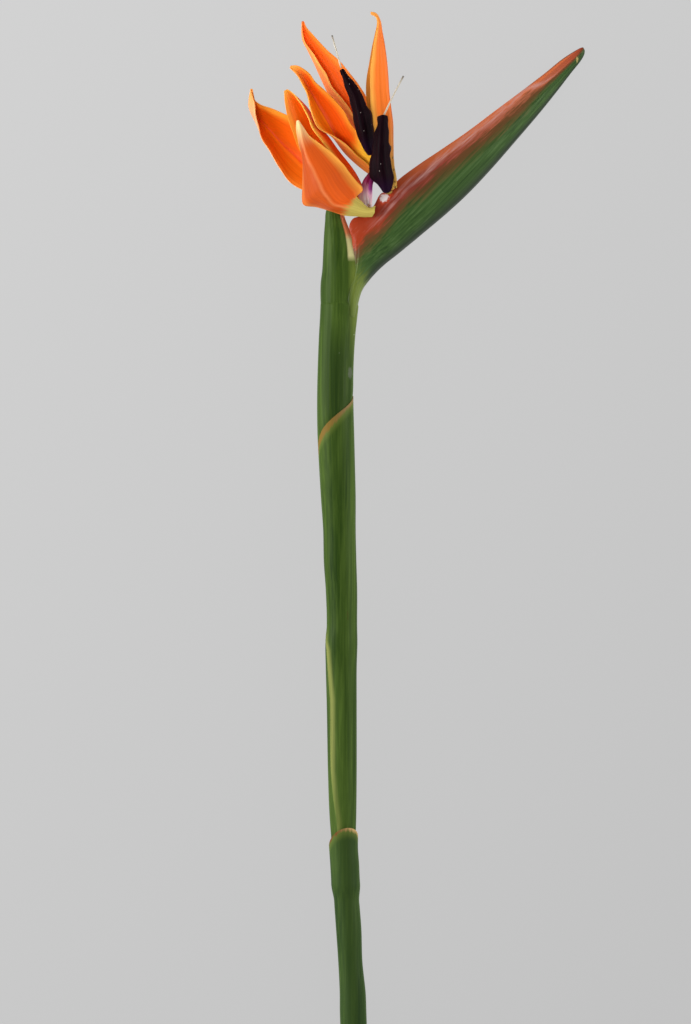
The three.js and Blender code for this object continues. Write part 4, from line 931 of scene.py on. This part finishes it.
CLAW_RINGS = 40


def arrow_relief(u, v):
    """Blunt folds along the two halves, and a puckered edge."""
    folds = ARROW_FOLD * np.cos(9 * u + 1.5 * v) * ease(1 - v, 0, 0.2)
    return folds + ARROW_PUCKER * np.abs(u) ** 4 * np.sin(34 * v)


# Velvety petal skin, nearly black, with blunt lines and white pollen grains that stick to it.
CELLS = 1200.0  # to a metre, drawn coarse to show
POLLEN_MM = 3.5  # the grains stick this far apart
dark_petal, tree = new_material("velvet_violet_petal_skin")
place = add(tree, "TexCoord", out=3)
lines = petal_streaks(tree, 12.0, 4.0, 4.0)
cells = add(tree, "TexNoise", {"Vector": place, "Scale": CELLS})
colour = add(tree, "ValToRGB", {"Fac": lines}, stops=[
    (0.3, "#0C0308"), (0.75, "#240812"), (0.5, "#14050B")])
pollen = add(tree, "TexVoronoi", {"Vector": place, "Scale": METRE / POLLEN_MM})
pollen = add(tree, "MapRange", {"Value": pollen, "From Min": 0.05, "From Max": 0.07, "To Min": 0.6,
                                "To Max": 0.0})
along = add(tree, "Attribute", out=2, attribute_name="along")
colour = fade(tree, colour, "#1E0A20", along, 0.26, 0.06, soft=True)  # more violet at the foot
colour = add(tree, "Mix", {0: pollen, 6: colour, 7: "#C8BCB4"}, out=2, data_type="RGBA")
bumps = add(tree, "Bump", {"Height": cells, "Strength": 0.4, "Distance": 0.3 * MM})
bumps = add(tree, "Bump", {"Height": lines, "Strength": 0.5, "Distance": 0.5 * MM, "Normal": bumps})
skin_finish(tree, colour, 0.5, 0.03, bumps)

# Smooth waxy skin of the claw, which pales downward from purple.
claw_skin, tree = new_material("purple_claw_skin")
colour = add(tree, "ValToRGB", {"Fac": add(tree, "Attribute", out=2, attribute_name="along")}, stops=[
    (0.1, "#30102C"), (1.0, "#E8CCC8"), (0.3, "#741450"), (0.5, "#963C84"), (0.66, "#D8A0B8")])
skin_finish(tree, colour, 0.5, 0.1)
for name, arrow in ARROWS.items():
    head = blade(name + "_head", arrow["rows"], ARROW_CREASE, ARROW_WALL, ARROW_GRID, arrow_relief)
    dress(head, dark_petal, "arrow_petal", name)
    dress(rod(name + "_claw", arrow["claw"], steps=CLAW_RINGS), claw_skin, "arrow_petal", name)


# ---- Small petals ----
# The third petal at the foot of each arrow is short and boat-shaped; it guards the nectar. It is
# thin, white to lilac, and deep purple where it meets the arrow.
SMALL_PETALS = {
    "flower_a_small_petal": (
        ((9.8, 501.8, 26.6), (10.4, 501.6, 26.9), (10.9, 501.9, 26.6)),
        ((8.4, 504.6, 26.8), (9.9, 504.8, 27.6), (10.9, 505, 26.9)),
        ((6.4, 508.2, 27.2), (9.3, 508.8, 28.6), (11.3, 509.2, 27.6)),
        ((7.8, 512, 28), (9.9, 512.6, 29.4), (11.8, 512.6, 28.4)),
        ((9, 515.4, 29), (11, 516.2, 30.2), (12.6, 515.8, 29.4)),
        ((11.8, 519.2, 30), (12.6, 519.4, 30.5), (13.2, 519, 30.3)),
    ),
    "flower_b_small_petal": (
        ((19.4, 510.8, 28.6), (20.2, 510.9, 28.9), (20.9, 511.3, 28.7)),
        ((18.5, 513.6, 29), (19.8, 514.2, 29.7), (20.8, 514.8, 29.2)),
        ((18, 516.6, 29.6), (19.1, 517.2, 30.2), (20, 517.6, 29.8)),
        ((18.2, 520.2, 30.4), (18.8, 520.4, 30.7), (19.4, 520.3, 30.5)),
    ),
}
SMALL_CREASE = 0.3
SMALL_WALL = (0.7, 0.4)
SMALL_GRID = (21, 41)

# Thin smooth petal skin with streaks of purple.
lilac, tree = new_material("thin_lilac_petal_skin")
streaks = petal_streaks(tree, 5.0, 1.5, 3.0)
along = add(tree, "Attribute", out=2, attribute_name="along")
colour = add(tree, "ValToRGB", {"Fac": fray(tree, along, streaks, 0.2)}, stops=[
    (0.3, "#F8E4E0"), (1.0, "#52041A"), (0.52, "#E09CB0"), (0.72, "#92184A")])
skin_finish(tree, colour, 0.4, 0.15)
for name, rows in SMALL_PETALS.items():
    petal = blade(name + "_petal", rows, SMALL_CREASE, SMALL_WALL, SMALL_GRID)
    dress(petal, lilac, "small_petal", name)


# ---- Styles ----
# The free end of each style is a stiff cream thread that stands out of the arrow's tip, sticky and a
# little darker at its end.
STYLES = {
    "flower_a_style": ((19.1, 547.8, 37.2, 0.55), (24.1, 558.2, 36.4, 0.45), (28.9, 567.4, 35.4, 0.5)),
    "flower_b_style": ((-2.2, 571.8, 29.4, 0.5), (-4.4, 579.6, 28.6, 0.45), (-6.75, 588, 27.4, 0.5)),
}
THREAD = 0.85  # a thread is this much thinner than its solid, which has to keep a minimum thickness

# Smooth cream skin, darker at the foot and toward the sticky end.
cream, tree = new_material("cream_style_skin")
colour = add(tree, "ValToRGB", {"Fac": add(tree, "Attribute", out=2, attribute_name="along")}, stops=[
    (0.0, "#B09A80"), (1.0, "#5A5248"), (0.15, "#D2C6AE"), (0.8, "#C8BEAA"), (0.93, "#948A7A")])
skin_finish(tree, colour, 0.45, 0.5)
for name, rows in STYLES.items():
    thread = [(x, y, z, THREAD * radius) for x, y, z, radius in rows]
    dress(rod(name + "_thread", thread, around=17), cream, "style", name)


# ---- Camera, light and floor ----
# A milky sheet lit evenly from below carries the flower, so that almost no shadow lies on it. Soft
# boxes stand at both sides, the left one stronger, and the camera looks straight down.
VIEW_MIDDLE = (0, 350)
VIEW_HEIGHT = 512  # millimetres of the flower's level that fill the picture from top to bottom
CAMERA_HEIGHT = 6.0  # metres, as for the next one
FLOWER_LEVEL = 0.02
SENSOR = 36  # millimetres of its width
FLOOR_HALF = 4  # metres
# name, place and size in metres, power in watts, and whether it lights the sepals alone
BOXES = (
    ("left_box", (-1.6, 0.25, 0.32), (0.5, 2.0), 38, False),
    ("right_box", (1.6, 0.4, 0.3), (0.5, 1.6), 24, False),
    ("top_box", (-0.4, -0.2, 1.4), (0.8, 0.8), 14, True),
)

lens = bpy.data.cameras.new("camera")
lens.sensor_width = SENSOR
lens.lens = SENSOR * (CAMERA_HEIGHT - FLOWER_LEVEL) / (VIEW_HEIGHT * MM)
lens.clip_end = 50
camera = bpy.data.objects.new("camera", lens)
camera.location = (ORIGIN[0] + VIEW_MIDDLE[0] * MM, ORIGIN[1] + VIEW_MIDDLE[1] * MM, CAMERA_HEIGHT)
bpy.context.scene.collection.objects.link(camera)
bpy.context.scene.camera = camera

# the room is pale at eye level and dark overhead, so that faces turned up keep their own colour
world = bpy.data.worlds.new("soft_room")
world.use_nodes = True
tree = world.node_tree
tree.nodes.clear()
level = add(tree, "SeparateXYZ", {"Vector": add(tree, "TexCoord")}, out=2)
glow = add(tree, "ValToRGB", {"Fac": level}, stops=[(0.2, 0.85), (0.8, 0.34)])
add(tree, "OutputWorld", {"Surface": add(tree, "Background", {"Color": glow, "Strength": 1.0})})
bpy.context.scene.world = world
bpy.context.scene.view_settings.view_transform = "Standard"

bm = bmesh.new()
bmesh.ops.create_grid(bm, x_segments=1, y_segments=1, size=FLOOR_HALF)
mesh = bpy.data.meshes.new("floor")
bm.to_mesh(mesh)
bm.free()
floor = bpy.data.objects.new("floor", mesh)
bpy.context.scene.collection.objects.link(floor)
# Milky acrylic, evenly lit; it darkens toward one corner.
sheet, tree = new_material("lit_milky_sheet")
corner = add(tree, "VectorMath", {0: add(tree, "TexCoord", out=3), 1: (0.5, -0.5, 0)}, out=1,
             operation="DOT_PRODUCT")
corner = add(tree, "MapRange", {"Value": corner, "From Min": -0.45, "From Max": 0.45})
sheet_glow = add(tree, "ValToRGB", {"Fac": corner}, stops=[(0.0, "#DBDBDB"), (1.0, "#B7B7B7")])
add(tree, "OutputMaterial", {"Surface": add(tree, "BsdfPrincipled", {
    "Base Color": "#3A3A3A", "Roughness": 0.9, "Specular IOR Level": 0.0,
    "Emission Color": sheet_glow, "Emission Strength": 0.95})})
mesh.materials.append(sheet)
floor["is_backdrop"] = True

# the side boxes light the flower alone, and a small one overhead lights the sepals
flower_only = bpy.data.collections.new("flower_only")
sepals_only = bpy.data.collections.new("sepals_only")
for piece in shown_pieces():
    flower_only.objects.link(piece)
    if "sepal" in piece.name:
        sepals_only.objects.link(piece)
for name, spot, size, watts, sepals in BOXES:
    light = bpy.data.lights.new(name, "AREA")
    light.shape = "RECTANGLE"
    light.size, light.size_y = size
    light.energy = watts
    box = bpy.data.objects.new(name, light)
    box.location = spot
    box.rotation_euler = (-Vector(spot)).to_track_quat("-Z", "Y").to_euler()
    box.visible_camera = False
    box.light_linking.receiver_collection = sepals_only if sepals else flower_only
    bpy.context.scene.collection.objects.link(box)
